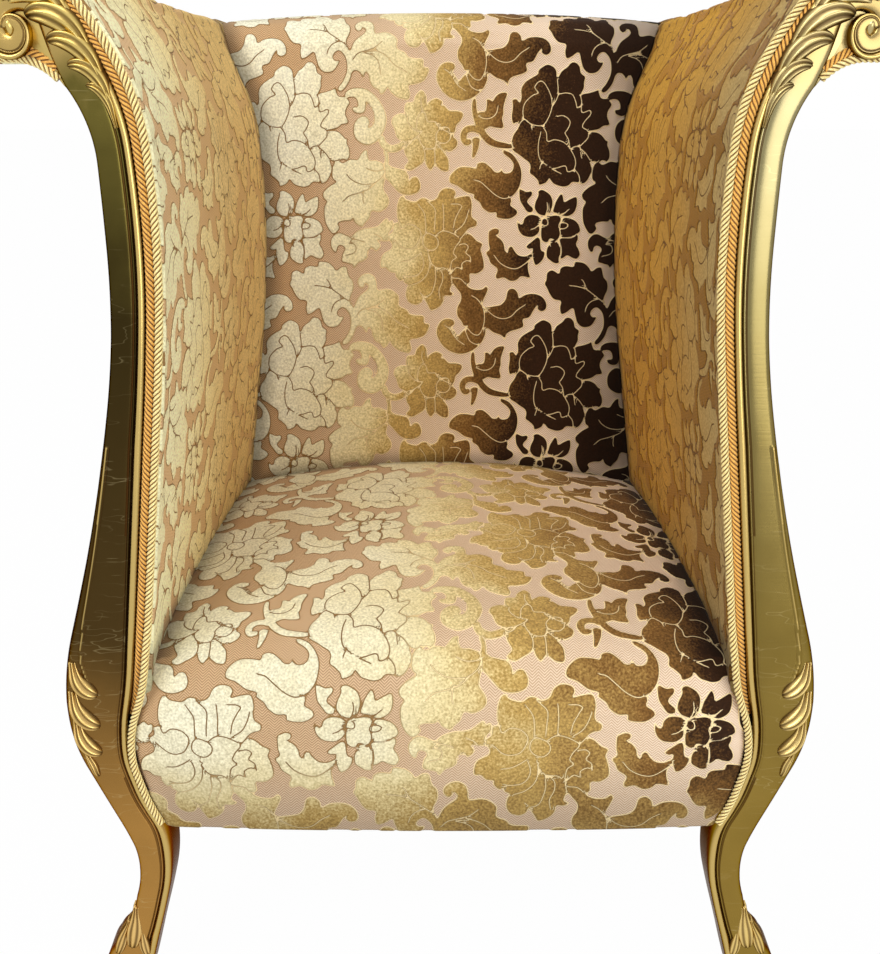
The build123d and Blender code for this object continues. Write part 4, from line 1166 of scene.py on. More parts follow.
inner_edge, outer_edge = body_edge(inner_points), body_edge(outer_points)
outer_edge[:, 0] += np.interp(outer_edge[:, 1], HIP_HEIGHTS, HIP_SWELL)
horn_spine = smooth_points([station[:3] for station in horn])
horn_run = lengths(horn_spine)
horn_at = np.linspace(0, horn_run[-1], count_for(horn_run[-1], POST_STEP))[1:]
spine = along(horn_spine, horn_at)
horn_half = np.interp(horn_at, horn_run[::SPAN], [station[3] / 2 for station in horn])[:, None]
inner_edge = np.vstack([inner_edge, spine + leftward(spine) * horn_half])
outer_edge = np.vstack([outer_edge, spine - leftward(spine) * horn_half])
proud = np.r_[np.zeros(body_rows), VOLUTE_PROUD * ease(horn_at, 0, horn_run[-1])]
post_width = np.linalg.norm(outer_edge - inner_edge, axis=1)
fade = np.clip(post_width / neck_width, 0, 1)
bead_in = np.interp(outer_edge[:, 1], EDGE_BEAD_HEIGHTS, EDGE_BEAD_IN)
bead_rise = ease(outer_edge[:, 1], *EDGE_BEAD_START) * (1 - ease(outer_edge[:, 1], *EDGE_BEAD_END))
bead_rise *= fade >= 1


def face_shape(width, scale, edge_bead, edge_rise):
    """Places across the face from its inner edge, their height, and their recess, which paints patina and
    shade in the hollows.

    A recess below nothing marks the beads, which get a painted highlight.
    """
    bead, quirk, fillet = (value * scale for value in (BEAD, QUIRK, FILLET))
    moulding = np.linspace(0, fillet, MOULDING_COLUMNS, endpoint=False)
    a = np.r_[moulding, np.linspace(fillet, width, FACE_COLUMNS)]
    in_quirk = (a >= bead) & (a < quirk)
    on_face = a >= fillet
    middle = np.clip(2 * a / bead - 1, -1, 1)
    height = BEAD_BASE + BEAD_RISE * np.sqrt(1 - middle**2)
    height = np.where(in_quirk, QUIRK_LEVEL, height)
    height = np.where((a >= quirk) & (a < fillet), FILLET_LEVEL, height)
    face = np.clip((a - fillet) / max(width - fillet, STRAIGHT), 0, 1)
    swell = FACE_EDGE + (FACE_SWELL - FACE_EDGE) * np.sin(pi * face**FACE_LEAN) ** FACE_FULLNESS
    swell -= FACE_DROP * face**FACE_TURN
    from_bead = (width - a - edge_bead) / EDGE_BEAD_HALF
    ridge = np.sqrt(np.clip(1 - from_bead**2, 0, 1))
    groove = np.clip(1 - np.abs(np.abs(from_bead) - EDGE_GROOVE_AT), 0, 1)
    relief = edge_rise * (EDGE_BEAD_RISE * ridge - EDGE_GROOVE_DEPTH * groove)
    height = np.where(on_face, swell + relief, height) * scale
    recess = np.where(in_quirk, 1.0, 0.0)
    recess = np.where(on_face & (a < fillet + FACE_SHADE_WIDTH), FACE_SHADE, recess)
    recess = np.where(on_face, np.maximum(recess, EDGE_GROOVE_SHADE * edge_rise * groove), recess)
    # Below nothing: painted highlight on the beads and the edge bead.
    recess = np.where(a < bead, middle**2 - 1, recess)
    recess = np.where(recess == 0, -EDGE_BEAD_GLEAM * edge_rise * ridge, recess)
    return a, height, recess


def post_places():
    """Places round the post for each row, with the recesses of its face."""
    places, recesses = [], []
    for start, end, width, scale, bead, rise_of_bead, lift in zip(
        inner_edge, outer_edge, post_width, fade, bead_in, bead_rise, proud
    ):
        a, height, recess = face_shape(width, scale, bead, rise_of_bead)
        flat = start + (end - start) * (a / width)[:, None]
        front = np.c_[flat[:, 0], POST_FACE_Y - lift - height, flat[:, 1]]
        rear = upright_places(np.array((end, start)), POST_REAR_Y)
        places.append(np.vstack([front, rear, front[:1]]))
        recesses.append(np.r_[recess, 0, 0, recess[0]])
    return np.array(places), np.array(recesses), True


# Acanthus: overlapping ribbed lobes with round ends
LOBE_ROOT = 4.0
LOBE_FOLD = 8.0
LOBE_STEP = 0.8
LOBE_COLUMNS = 33
LOBE_WIDEST = 0.6
LOBE_ROUND_FROM = 0.62
LOBE_TIP = 0.002
LOBE_SWELL = (-0.3, 0.75)
RIB_DEPTH, RIB_SHADE, RIM_SHADE = 0.28, 0.8, 0.9


def carved_piece(name, grids, mirror):
    """A gilded piece made of grids of places with recesses, each closed behind."""
    work = bmesh.new()
    layer = work.verts.layers.float.new("recess")
    for places, recess, wrap in grids:
        if wrap:
            grid_into(work, mirrored(places, mirror), [(layer, recess)], wrap)
            fill_ends(work)
        else:
            back = places + np.array((0.0, LOBE_FOLD, 0.0))
            shades = [(layer, folded(recess, recess * 0))]
            close_behind(work, grid_into(work, mirrored(folded(places, back), mirror), shades))
    return finish_mesh(work, name)


def lobe(stations, width, lift, ribs=3, start_share=0.35):
    """Places of one ribbed leaf lobe along a line on the post, swelling forward to its round end."""
    line = smooth_points(stations)
    run = lengths(line)[-1]
    share = np.linspace(0, 1, count_for(run, LOBE_STEP))
    spots = along(line, share * run)
    end = np.clip((share - LOBE_ROUND_FROM) / (1 - LOBE_ROUND_FROM), 0, 1)
    half = width / 2 * (start_share + (1 - start_share) * ease(share, 0, LOBE_WIDEST))
    half *= np.sqrt(np.clip(1 - end**2, LOBE_TIP, 1))
    across = np.linspace(-1, 1, LOBE_COLUMNS)
    flat = spots[:, None, :] + leftward(spots)[:, None, :] * (half[:, None] * across[None, :])[..., None]
    dome = np.sqrt(np.clip(1 - across**2, 0, 1))[None, :] * np.sqrt(np.clip(1 - end**4, 0, 1))[:, None]
    rise = lift * ease(share, *LOBE_SWELL)[:, None]
    wave = 0.5 + 0.5 * np.cos(pi * ribs * (across + 1 / ribs * (ribs % 2 == 0)))[None, :]
    height = dome * (rise - RIB_DEPTH * lift * (1 - wave))
    y = POST_FACE_Y + LOBE_ROOT - (height + LOBE_ROOT * dome)
    recess = np.clip((1 - wave) * RIB_SHADE + (1 - dome) * RIM_SHADE, 0, 1)
    return np.dstack([flat[..., 0], y, flat[..., 1]]), recess, False


shoulder_leaf = [
    lobe([(292, 976, 40), (322, 1004, 80), (350, 992, 150)], 26, 9),
    lobe([(281, 952, 25), (303, 982, 55), (332, 984, 125)], 24, 10),
    lobe([(273, 930, 20), (292, 962, 50), (317, 965, 125)], 20, 9),
    lobe([(269, 912, 12), (282, 942, 45), (303, 946, 120)], 16, 7),
    lobe([(267, 898, 10), (276, 926, 40), (290, 931, 110)], 11, 5),
]
hip_leaf = [
    lobe([(358, 398, 185), (352, 374, 214), (335, 362, 250)], 21, 8.5, start_share=0.45),
    lobe([(361, 366, 182), (355, 340, 214), (336, 327, 250)], 22, 9, start_share=0.5),
    lobe([(360, 334, 182), (354, 308, 214), (337, 296, 250)], 20, 8.5, start_share=0.5),
    lobe([(356, 303, 195), (350, 286, 205), (343, 268, 212)], 10, 5.5),
]
foot_leaf = [
    lobe([(322, 104, 172), (325, 80, 170), (331, 50, 165)], 20, 6),
    lobe([(331, 86, 165), (339, 64, 160), (348, 42, 150)], 13, 5),
    lobe([(318, 78, 175), (318, 58, 185), (314, 40, 200)], 13, 4.5),
]
volute_button = [
    lobe([(342, 964, 0), (343, 974, 0), (344, 984, 0)], 16, 9, ribs=1, start_share=0.8),
]

# Board behind the horn
BOARD_MIDDLE = (330.0, 978.0)
BOARD_BACK = 5.0
BOARD_RIM = 2.0
BOARD_RIM_SHARE = 0.97
BOARD_SWELL = 3.0
BOARD_RINGS = 14
BOARD_SHADE = 0.35


def head_board():
    """Places of the board behind the horn, from its rear edge over the rim to its middle."""
    top = shifted(arm_top[3:], CORDS)
    under = [(*top[-1][:2], IN), post_outer[0]]
    edge = np.vstack([smooth_points(top), smooth_points(under)[1:]])
    edge = np.vstack([edge, edge[:1]])
    middle = np.array(BOARD_MIDDLE)
    shares = np.r_[1.0, 1.0, np.linspace(BOARD_RIM_SHARE, 0, BOARD_RINGS)]
    face_y = POST_FACE_Y + BOARD_BACK
    depth = np.r_[POST_REAR_Y, face_y + BOARD_RIM, face_y - BOARD_SWELL * (1 - shares[2:] ** 2)]
    flat = middle + (edge - middle)[:, None, :] * shares[None, :, None]
    places = np.dstack([flat[..., 0], depth[None, :] * np.ones((len(edge), 1)), flat[..., 1]])
    return places, np.full(places.shape[:2], BOARD_SHADE), True


CARVINGS = {
    "gilded_post": [post_places()],
    "shoulder_leaf": shoulder_leaf,
    "hip_leaf": hip_leaf,
    "foot_leaf": foot_leaf,
    "volute_button": volute_button,
    "head_board": [head_board()],
}
carved = {
    f"{side}_{form}": carved_piece(f"{side}_{form}", grids, mirror)
    for side, mirror in SIDES
    for form, grids in CARVINGS.items()
}
posts = [carved[f"{side}_gilded_post"] for side, _ in SIDES]

# Cords of twisted strands
STRANDS = 4
STRAND_SIDES = 10
STRAND_ORBIT = 0.29 * CORD_DIAMETER
STRAND_RADIUS = 0.225 * CORD_DIAMETER
STRAND_GROOVE = (0.1, 0.9)
CORD_STEP = 0.9
CORD_PITCH = 19.0
BRONZE_TUCK = 4.0
CORD_LIFT = (385.0, 445.0)
SEAT_CORD_PROUD = 2.0
SEAT_CORD_Y = POST_FACE_Y - SEAT_FRONT_EDGE - SEAT_CORD_PROUD
TUCK_LENGTH = 55.0
UNDER_ROLL = DOWN + 42.0
gold_run = gold_line + [(311.0, 936.5, UNDER_ROLL)]
bronze_run = [(307.0, 338.0, -20.0)] + bronze_line + [(312.0, 944.0, UNDER_ROLL)]


def cord_piece(name, stations, y, twist, mirror, tuck=0.0, forward=0.0):
    """A cord of twisted strands along a line, tucked back or brought forward at its lower end."""
    line = smooth_points(stations)
    run = lengths(line)[-1]
    at = np.linspace(0, run, count_for(run, CORD_STEP))
    spots = along(line, at)
    ahead = upright_places(headings(spots), 0.0)
    side = upright_places(leftward(spots), 0.0)
    front = np.array((0.0, -1.0, 0.0))
    centre = upright_places(spots, y)
    centre[:, 1] += tuck * (1 - ease(at, 0, TUCK_LENGTH))
    centre[:, 1] += forward * (1 - ease(spots[:, 1], *CORD_LIFT))
    work = bmesh.new()
    layer = work.verts.layers.float.new("recess")
    ring = np.linspace(0, 2 * pi, STRAND_SIDES + 1)
    # Painted shade where the strands meet, kept as their recess.
    groove = np.ones((len(at), 1)) * (1 - ease(np.cos(ring), *STRAND_GROOVE))[None, :]
    for strand in range(STRANDS):
        turn = twist * 2 * pi * at / CORD_PITCH + 2 * pi * strand / STRANDS
        out = side * np.cos(turn)[:, None] + front * np.sin(turn)[:, None]
        middle = centre + out * STRAND_ORBIT
        wide = out[:, None, :] * np.cos(ring)[None, :, None]
        tall = np.cross(ahead, out)[:, None, :] * np.sin(ring)[None, :, None]
        places = middle[:, None, :] + STRAND_RADIUS * (wide + tall)
        grid_into(work, mirrored(places, mirror), [(layer, groove)], wrap=True)
    fill_ends(work)
    return finish_mesh(work, name)


gold_cords, bronze_cords, edge_cords = [], [], []
for side, mirror in SIDES:
    gold_cords.append(
        cord_piece(f"{side}_gold_twist", gold_run, CORD_Y, mirror, mirror, forward=SEAT_CORD_Y - CORD_Y)
    )
    bronze_cords.append(
        cord_piece(f"{side}_bronze_twist", bronze_run, CORD_Y, -mirror, mirror, BRONZE_TUCK)
    )
    edge_cords.append(
        cord_piece(f"{side}_edge_twist", edge_line, POST_REAR_Y + CORD_RADIUS, mirror, mirror)
    )

for (side, _), arm, fabric, post, gold, bronze, edge in zip(
    SIDES, arm_pieces, outside_pieces, posts, gold_cords, bronze_cords, edge_cords
):
    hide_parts(f"{side}_arm_cover", f"{side}_arm_foam")
    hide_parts(f"{side}_outside_panel")
    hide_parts(f"{side}_front_post")
    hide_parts(f"{side}_gold_cord")
    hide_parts(f"{side}_bronze_cord")
    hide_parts(f"{side}_edge_cord")
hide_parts("seat_cover", "seat_foam")
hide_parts("back_cover", "back_foam")
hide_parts("outside_back_panel")


# Materials
SCREEN_WHITE = 255
SCREEN_TOE, TOE_SLOPE = 11, 12.92
SCREEN_LIFT, SCREEN_POWER = 0.055, 2.4


def colour(red, green, blue):
    """A colour given as 0 to 255 on screen, in linear light."""
    linear = []
    for level in (red, green, blue):
        share = level / SCREEN_WHITE
        curved = ((share + SCREEN_LIFT) / (1 + SCREEN_LIFT)) ** SCREEN_POWER
        linear.append(share / TOE_SLOPE if level < SCREEN_TOE else curved)
    return (*linear, 1.0)


def colours(*stops):
    """Stops of a ramp, each a place with the red, green and blue of its colour."""
    return [(place, colour(*levels)) for place, *levels in stops]


class Wire:
    """An output of a node, which can be reckoned with and fed to other nodes."""

    def __init__(self, tree, socket):
        self.tree = tree
        self.socket = socket

    @classmethod
    def node(cls, tree, kind, inputs=None, output=0, **settings):
        """Make a node with its settings, values and links, and give one of its outputs."""
        made = tree.nodes.new(kind)
        for key, value in settings.items():
            setattr(made, key, value)
        for key, value in (inputs or {}).items():
            if isinstance(value, Wire):
                tree.links.new(value.socket, made.inputs[key])
            else:
                made.inputs[key].default_value = value
        return cls(tree, made.outputs[output])

    def math(self, operation, first, second=0.0):
        """Result of a Math node on two values."""
        return Wire.node(self.tree, "ShaderNodeMath", {0: first, 1: second}, operation=operation)

    def __add__(self, other):
        return self.math("ADD", self, other)

    __radd__ = __add__

    def __sub__(self, other):
        return self.math("SUBTRACT", self, other)

    def __rsub__(self, other):
        return self.math("SUBTRACT", other, self)

    def __mul__(self, other):
        return self.math("MULTIPLY", self, other)

    __rmul__ = __mul__

    def __truediv__(self, other):
        return self.math("DIVIDE", self, other)

    def __rtruediv__(self, other):
        return self.math("DIVIDE", other, self)

    def __abs__(self):
        return self.math("ABSOLUTE", self)

    def rise(self, low, high):
        """Smooth rise from 0 at low to 1 at high."""
        limits = {0: self, 1: low, 2: high}
        return Wire.node(self.tree, "ShaderNodeMapRange", limits, interpolation_type="SMOOTHSTEP")

    def scaled(self, level):
        """This colour made lighter or darker."""
        return Wire.node(self.tree, "ShaderNodeVectorMath", {0: self, "Scale": level}, operation="SCALE")

    def mix(self, first, second):
        """Colour between two, with this as the share of the second."""
        inputs = {"Factor": self, 6: first, 7: second}
        return Wire.node(self.tree, "ShaderNodeMix", inputs, output=2, data_type="RGBA")


class Look:
    """A material with one main shader."""

    def __init__(self, name, **constants):
        self.material = bpy.data.materials.new(name)
        self.material.use_nodes = True
        self.tree = self.material.node_tree
        self.shader = self.tree.nodes["Principled BSDF"]
        for key, value in constants.items():
            self.shader.inputs[key.replace("_", " ")].default_value = value

    def node(self, kind, inputs=None, output=0, **settings):
        """One output of a new node of this material."""
        return Wire.node(self.tree, kind, inputs, output, **settings)

    def attribute(self, name):
        """A value that each vertex of the piece has."""
        return self.node("ShaderNodeAttribute", output="Fac", attribute_name=name)

    def place(self, axis=None):
        """Place on the chair in metres, or its part along one axis."""
        spot = self.node("ShaderNodeTexCoord", output="Object")
        return self.node("ShaderNodeSeparateXYZ", {"Vector": spot}, output=axis) if axis else spot

    def noise(self, scale, detail=2.0, stretch=(1, 1, 1)):
        """Noise on the chair's own places."""
        spot = self.node("ShaderNodeMapping", {"Vector": self.place(), "Scale": stretch})
        return self.node("ShaderNodeTexNoise", {"Vector": spot, "Scale": scale, "Detail": detail})

    def ramp(self, factor, stops):
        """Colour of a ramp through stops."""
        made = self.node("ShaderNodeValToRGB", {0: factor})
        ramp = made.socket.node.color_ramp
        while len(ramp.elements) < len(stops):
            ramp.elements.new(1.0)
        for element, (place, value) in zip(ramp.elements, stops):
            element.position = place
            element.color = value
        return made

    def feed(self, **wires):
        """Link values to sockets of the shader."""
        for key, value in wires.items():
            self.tree.links.new(value.socket, self.shader.inputs[key.replace("_", " ")])

    def bump(self, height, distance):
        """Relief of a height field, with the distance in metres that a height of 1 stands for."""
        relief = self.node("ShaderNodeBump", {"Height": height, "Distance": distance, "Strength": 1.0})
        self.feed(Normal=relief)

    def put_on(self, *pieces):
        """Give pieces this material alone."""
        for piece in pieces:
            piece.data.materials.clear()
            piece.data.materials.append(self.material)


# Cut velvet
NOISE_MIDDLE = 0.5
GROUND_ROUGHNESS, PILE_ROUGHNESS = 0.6, 0.3
PILE_EDGE = (-0.35, 0.35)
LINE_EDGE = (0.25, 0.8)
LINE_REACH = (1.3, 2.4)
LINE_DEPTH = 0.85
SEAM_TURN = (0.2, 0.36)
STRIPE = 6.0
TWILL = 2.1
WEAVE_SHARE = 0.65
WEAVE_EDGE = (0.15, 0.9)
CLOUD_SHIFT, FIBRE_SHIFT, FIBRE_SHADE = 0.35, 0.3, 1.2
CREASE_SHADE = 0.5
# Painted shade: the nap field beyond 1 darkens the cloth as the right arm's shadow.
ARM_SHADOW_NAP, DEEP_SHADE = (1.0, 1.45), 0.5
WEAVE_RELIEF, FIBRE_RELIEF, VELVET_RELIEF = 0.12, 0.2, 0.0012


def velvet_look(name, pile_stops, ground_dark, ground_light, seams):
    """Cut velvet on a fine herringbone ground, coloured along a nap field of painted sheen, light and
    shade.
    """
    look = Look(name, Sheen_Weight=0.05, Sheen_Roughness=0.4, Specular_IOR_Level=0.12)
    pile, line, near = (look.attribute(key) for key in ("pile", "line", "near"))
    # The nap field is painted light and shade: low values paint the velvet pale, high values dark.
    nap_light_and_shade = look.attribute("nap_light_and_shade")
    across, up = look.attribute("cloth_u"), look.attribute("cloth_v")
    # drawn holds the scored lines and an outline round each shape; that outline is painted light and
    # shade at the pile's edge.
    drawn = (1 - abs(line).rise(*LINE_EDGE)) * (1 - near.rise(*LINE_REACH))
    velvet = pile.rise(*PILE_EDGE) * (1 - drawn)
    seam = nap_light_and_shade.rise(*SEAM_TURN).mix(*seams)
    stripe = (across / STRIPE).math("PINGPONG", across / STRIPE, 1.0)
    thread = (up + stripe * STRIPE) * TWILL
    weave = thread.math("SINE", thread) * 0.5 + 0.5
    speck = look.noise(scale=500.0, detail=3.0)
    shares = (weave * WEAVE_SHARE + speck * (1 - WEAVE_SHARE)).rise(*WEAVE_EDGE)
    ground = shares.mix(nap_light_and_shade.mix(*ground_dark), nap_light_and_shade.mix(*ground_light))
    cloud = look.noise(scale=14.0, detail=3.0) - NOISE_MIDDLE
    fibre = look.noise(scale=420.0, detail=4.0)
    stray = fibre - NOISE_MIDDLE
    shade = look.ramp(nap_light_and_shade + cloud * CLOUD_SHIFT - stray * FIBRE_SHIFT, pile_stops)
    shade = shade.scaled(stray * FIBRE_SHADE + 1)
    cloth = (drawn * LINE_DEPTH).mix(velvet.mix(ground, shade), seam)
    # Painted shade in the creases and in the right arm's shadow on the back.
    unshaded = 1 - look.attribute("crease") * CREASE_SHADE
    cloth = cloth.scaled(unshaded * (1 - nap_light_and_shade.rise(*ARM_SHADOW_NAP) * DEEP_SHADE))
    look.feed(Base_Color=cloth, Roughness=GROUND_ROUGHNESS + velvet * PILE_ROUGHNESS)
    look.bump(velvet + weave * WEAVE_RELIEF + fibre * FIBRE_RELIEF, VELVET_RELIEF)
    return look


# Pile colours run from painted light at 0 of the nap field to painted shade at 1.
velvet = velvet_look(
    "velvet",
    colours(
        (0.0, 232, 227, 200),
        (0.37, 224, 206, 153),
        (0.53, 189, 156, 89),
        (0.74, 127, 90, 45),
        (0.94, 51, 31, 16),
    ),
    (colour(156, 121, 82), colour(214, 180, 148)),
    (colour(214, 178, 134), colour(250, 234, 212)),
    (colour(135, 100, 48), colour(255, 229, 169)),
)
# Lit and shaded copies of the velvet: the left arm is painted pale as if lit, the right arm dark as if in
# shade.
left_arm_velvet_painted_light = velvet_look(
    "velvet_left_arm",
    colours((0.0, 255, 250, 202), (0.5, 250, 230, 166), (1.0, 230, 195, 122)),
    (colour(210, 168, 116), colour(204, 160, 96)),
    (colour(246, 212, 162), colour(228, 190, 124)),
    (colour(146, 108, 54), colour(134, 98, 44)),
)
right_arm_velvet_painted_shade = velvet_look(
    "velvet_right_arm",
    colours((0.0, 174, 148, 94), (0.35, 179, 139, 66), (1.0, 200, 150, 53)),
    (colour(114, 78, 22), colour(147, 99, 26)),
    (colour(154, 112, 45), colour(200, 143, 36)),
    (colour(97, 61, 17), colour(110, 68, 13)),
)


def set_field(piece, name, values):
    """Give each vertex of a piece a value."""
    layer = piece.data.attributes.new(name, "FLOAT", "POINT")
    layer.data.foreach_set("value", values.astype(np.float32))


# Nap: painted light and shade of the sheen, 0 where the pile leans towards the light, 1 where it leans
# away, more where painted shade also lies on it
BACK_NAP_LIGHT = ((-200, 150, 300), (0.0, 1.0, 1.45))
BACK_NAP_SLANT, BACK_NAP_Z = 0.10, 760.0
SEAT_NAP_LIGHT = ((-300, -60, 30, 120, 220, 275), (0.04, 0.2, 0.46, 0.6, 0.8, 0.96))
ARM_NAP_LIGHT = (-330, 60)
# Painted shade on the seat's front, darker towards its bottom where it turns under.
FRONT_SHADED_NAP = 0.6
FRONT_SHARE = 0.85
FRONT_UNDER_SHADE = 0.9
FRONT_TOP_Z = 320.0
FRONT_DEPTH_Y = -250.0
CREASE_WIDTH = 26.0
SHADED_CREASE = 0.75
SHADED_SIDE = (150, 250)


def creased(*distances):
    """Shade in a crease, from the distances to the pads that make it."""
    return 1 - ease(np.minimum(*distances), 0, CREASE_WIDTH)


# Back: painted light, pale at its left and dark at its right, with painted shade in its creases and on
# its right.
x, y, z = mesh_places(back_piece.data).T
set_field(back_piece, "nap_light_and_shade", np.interp(x + BACK_NAP_SLANT * (BACK_NAP_Z - z), *BACK_NAP_LIGHT))
above_seat = z - SEAT_CREASE_Z - SEAT_CROWN * (1 - (x / BACK_HALF) ** 2) + SEAT_REAR_FALL
crease = creased(arm_face(y, z) - np.abs(x), above_seat)
set_field(back_piece, "crease", np.maximum(crease, SHADED_CREASE * ease(x, *SHADED_SIDE)))
# Seat: painted light, pale at its left and dark at its right.
x, y, z = mesh_places(seat_piece.data).T
nap_light_and_shade = np.interp(x, *SEAT_NAP_LIGHT)
# Painted shade: the seat's front darkens towards its bottom, in its nap and crease fields.
front = FRONT_SHARE * (1 - ease(z, SEAT_BOTTOM_Z, FRONT_TOP_Z)) * (y < FRONT_DEPTH_Y)
set_field(seat_piece, "nap_light_and_shade", nap_light_and_shade + front * (FRONT_SHADED_NAP - nap_light_and_shade))
beside_arm = np.where(y > PAD_FRONT_Y + CREASE_WIDTH, arm_face(y, z) - np.abs(x), CREASE_WIDTH)
crease = creased(beside_arm, back_depth(z, 0) - y)
set_field(seat_piece, "crease", np.maximum(crease, front * FRONT_UNDER_SHADE))
velvet.put_on(seat_piece, back_piece)
# Each arm's nap field paints it pale at the front and dark at the rear, with painted shade in its
# creases.
for piece, look in zip(arm_pieces, (right_arm_velvet_painted_shade, left_arm_velvet_painted_light)):
    x, y, z = mesh_places(piece.data).T
    set_field(piece, "nap_light_and_shade", ease(y, *ARM_NAP_LIGHT))
    before_back = np.where(z < BACK_TOP_Z, back_depth(z, 0) - y, CREASE_WIDTH)
    set_field(piece, "crease", creased(before_back, z - SEAT_CREASE_Z))
    look.put_on(piece)

# Gilding
LAP_EDGE, LAP_SHARE = (0.66, 0.72), 0.15
CRACK_WIDTH, CRACK_SHARE = 0.006, 0.16
WORN_EDGE = (0.5, 0.62)
# Where the painted reflection turns from the left post's tone to the right's, and how far noise shifts it
# in height.
SIDE_TURN = (-0.1, 0.1)
TONE_DRIFT = 0.1
HOLLOW_EDGE = (0.2, 1.0)
LEAF_SHADE, WEAR_SHADE = 0.8, 0.4
HOLLOW_SHARE, HOLLOW_WEAR = 0.55, 0.5
LEAF_ROUGHNESS, WEAR_ROUGHNESS, HOLLOW_ROUGHNESS = 0.2, 0.12, 0.25
LAP_RELIEF, GILDING_RELIEF = 0.5, 0.00012
MIRROR_TINT = colour(120, 96, 60)
FRESH_LEAF = colour(226, 206, 150)
BEAD_PAINTED_HIGHLIGHT = colour(200, 172, 104)
HOLLOW_PATINA_AND_SHADE = colour(70, 40, 14)


def gilded_look(name, left_painted_light_stops, right_painted_light_stops):
    """Gold leaf toned by side and height as painted reflection, cracked, laid in laps, with patina and
    painted shade in the hollows.
    """
    look = Look(name, Metallic=1.0, Specular_Tint=MIRROR_TINT)
    recess = look.attribute("recess")
    laps = look.noise(scale=30.0, detail=4.0, stretch=(0.6, 0.6, 14.0))
    wear = look.noise(scale=18.0, detail=4.0)
    scratch = look.noise(scale=9.0, detail=3.0, stretch=(1.0, 1.0, 4.0))
    worn = look.noise(scale=5.0, detail=2.0).rise(*WORN_EDGE)
    crack = (1 - abs(scratch - NOISE_MIDDLE).rise(0.0, CRACK_WIDTH)) * worn
    # Painted reflection and light: the tone follows side and height, the left post's middle painted dark
    # and the right post's paler.
    side = look.place("X").rise(*SIDE_TURN)
    height = look.place("Z") + (wear - NOISE_MIDDLE) * TONE_DRIFT
    gold = side.mix(look.ramp(height, left_painted_light_stops), look.ramp(height, right_painted_light_stops))
    gold = gold.scaled(LEAF_SHADE + wear * WEAR_SHADE)
    gold = (laps.rise(*LAP_EDGE) * LAP_SHARE + crack * CRACK_SHARE).mix(gold, FRESH_LEAF)
    # Patina in the quirks, and painted shade where the recess marks it: beside the fillet, in grooves,
    # between ribs, round lobe rims, on the head board.
    gold = (recess.rise(*HOLLOW_EDGE) * (HOLLOW_SHARE + wear * HOLLOW_WEAR)).mix(gold, HOLLOW_PATINA_AND_SHADE)
    # Painted highlight on the beads.
    gold = (0 - recess).rise(0.0, 1.0).mix(gold, BEAD_PAINTED_HIGHLIGHT)
    roughness = LEAF_ROUGHNESS + wear * WEAR_ROUGHNESS + recess.rise(0.0, 1.0) * HOLLOW_ROUGHNESS
    look.feed(Base_Color=gold, Roughness=roughness)
    look.bump(laps * LAP_RELIEF + wear, GILDING_RELIEF)
    return look


# Gold of the posts, its tone by side and height painted as reflection and light.
post_gold_painted_reflection = gilded_look(
    "gilded_wood",
    colours(
        (0.2, 172, 128, 66),
        (0.42, 76, 58, 29),
        (0.75, 54, 44, 20),
        (0.92, 104, 94, 44),
        (0.97, 184, 156, 92),
    ),
    colours(
        (0.2, 144, 118, 54),
        (0.45, 130, 110, 54),
        (0.75, 126, 114, 72),
        (0.92, 150, 140, 102),
        (0.97, 160, 138, 88),
    ),
)
# Gold of the carving, painted lighter than the posts' as its highlight.
carving_gold_painted_highlight = gilded_look(
    "carving_gilding_painted_highlight",
    colours((0.1, 226, 188, 118), (0.9, 206, 180, 106)),
    colours((0.1, 228, 198, 124), (0.9, 186, 168, 116)),
)
post_gold_painted_reflection.put_on(*posts)
carving_gold_painted_highlight.put_on(*[piece for piece in carved.values() if piece not in posts])

# Cords, plain cloth, wood and glides
STRAND_HOLLOW = (0.4, 1.0)
THREAD_EDGE = (0.3, 0.7)
FINE_RELIEF = 0.0003
YARN_ROUGHNESS, CLOTH_ROUGHNESS, THREAD_ROUGHNESS = 0.45, 0.8, 0.1
WOOD_ROUGHNESS, GRAIN_ROUGHNESS = 0.42, 0.2


def cord_look(name, light, dark, groove):
    """Twisted yarn with fine threads, with painted shade between its strands."""
    look = Look(name, Sheen_Weight=0.2, Specular_IOR_Level=0.4)
    thread = look.noise(scale=900.0)
    yarn = thread.rise(*THREAD_EDGE).mix(dark, light)
    yarn = look.attribute("recess").rise(*STRAND_HOLLOW).mix(yarn, groove)
    look.feed(Base_Color=yarn, Roughness=YARN_ROUGHNESS + thread * THREAD_ROUGHNESS)
    look.bump(thread, FINE_RELIEF)
    return look


def cloth_look(name, light, dark):
    """Plain woven cloth."""
    look = Look(name, Specular_IOR_Level=0.2)
    thread = look.noise(scale=700.0)
    cloth = thread.rise(*THREAD_EDGE).mix(dark, light)
    look.feed(Base_Color=cloth, Roughness=CLOTH_ROUGHNESS + thread * THREAD_ROUGHNESS)
    look.bump(thread, FINE_RELIEF)
    return look


def wood_look(name, light, dark):
    """Planed wood with its grain along the height."""
    look = Look(name)
    grain = look.noise(scale=22.0, detail=5.0, stretch=(1.0, 1.0, 0.12))
    wood = grain.rise(*THREAD_EDGE).mix(dark, light)
    look.feed(Base_Color=wood, Roughness=WOOD_ROUGHNESS + grain * GRAIN_ROUGHNESS)
    look.bump(grain, FINE_RELIEF)
    return look


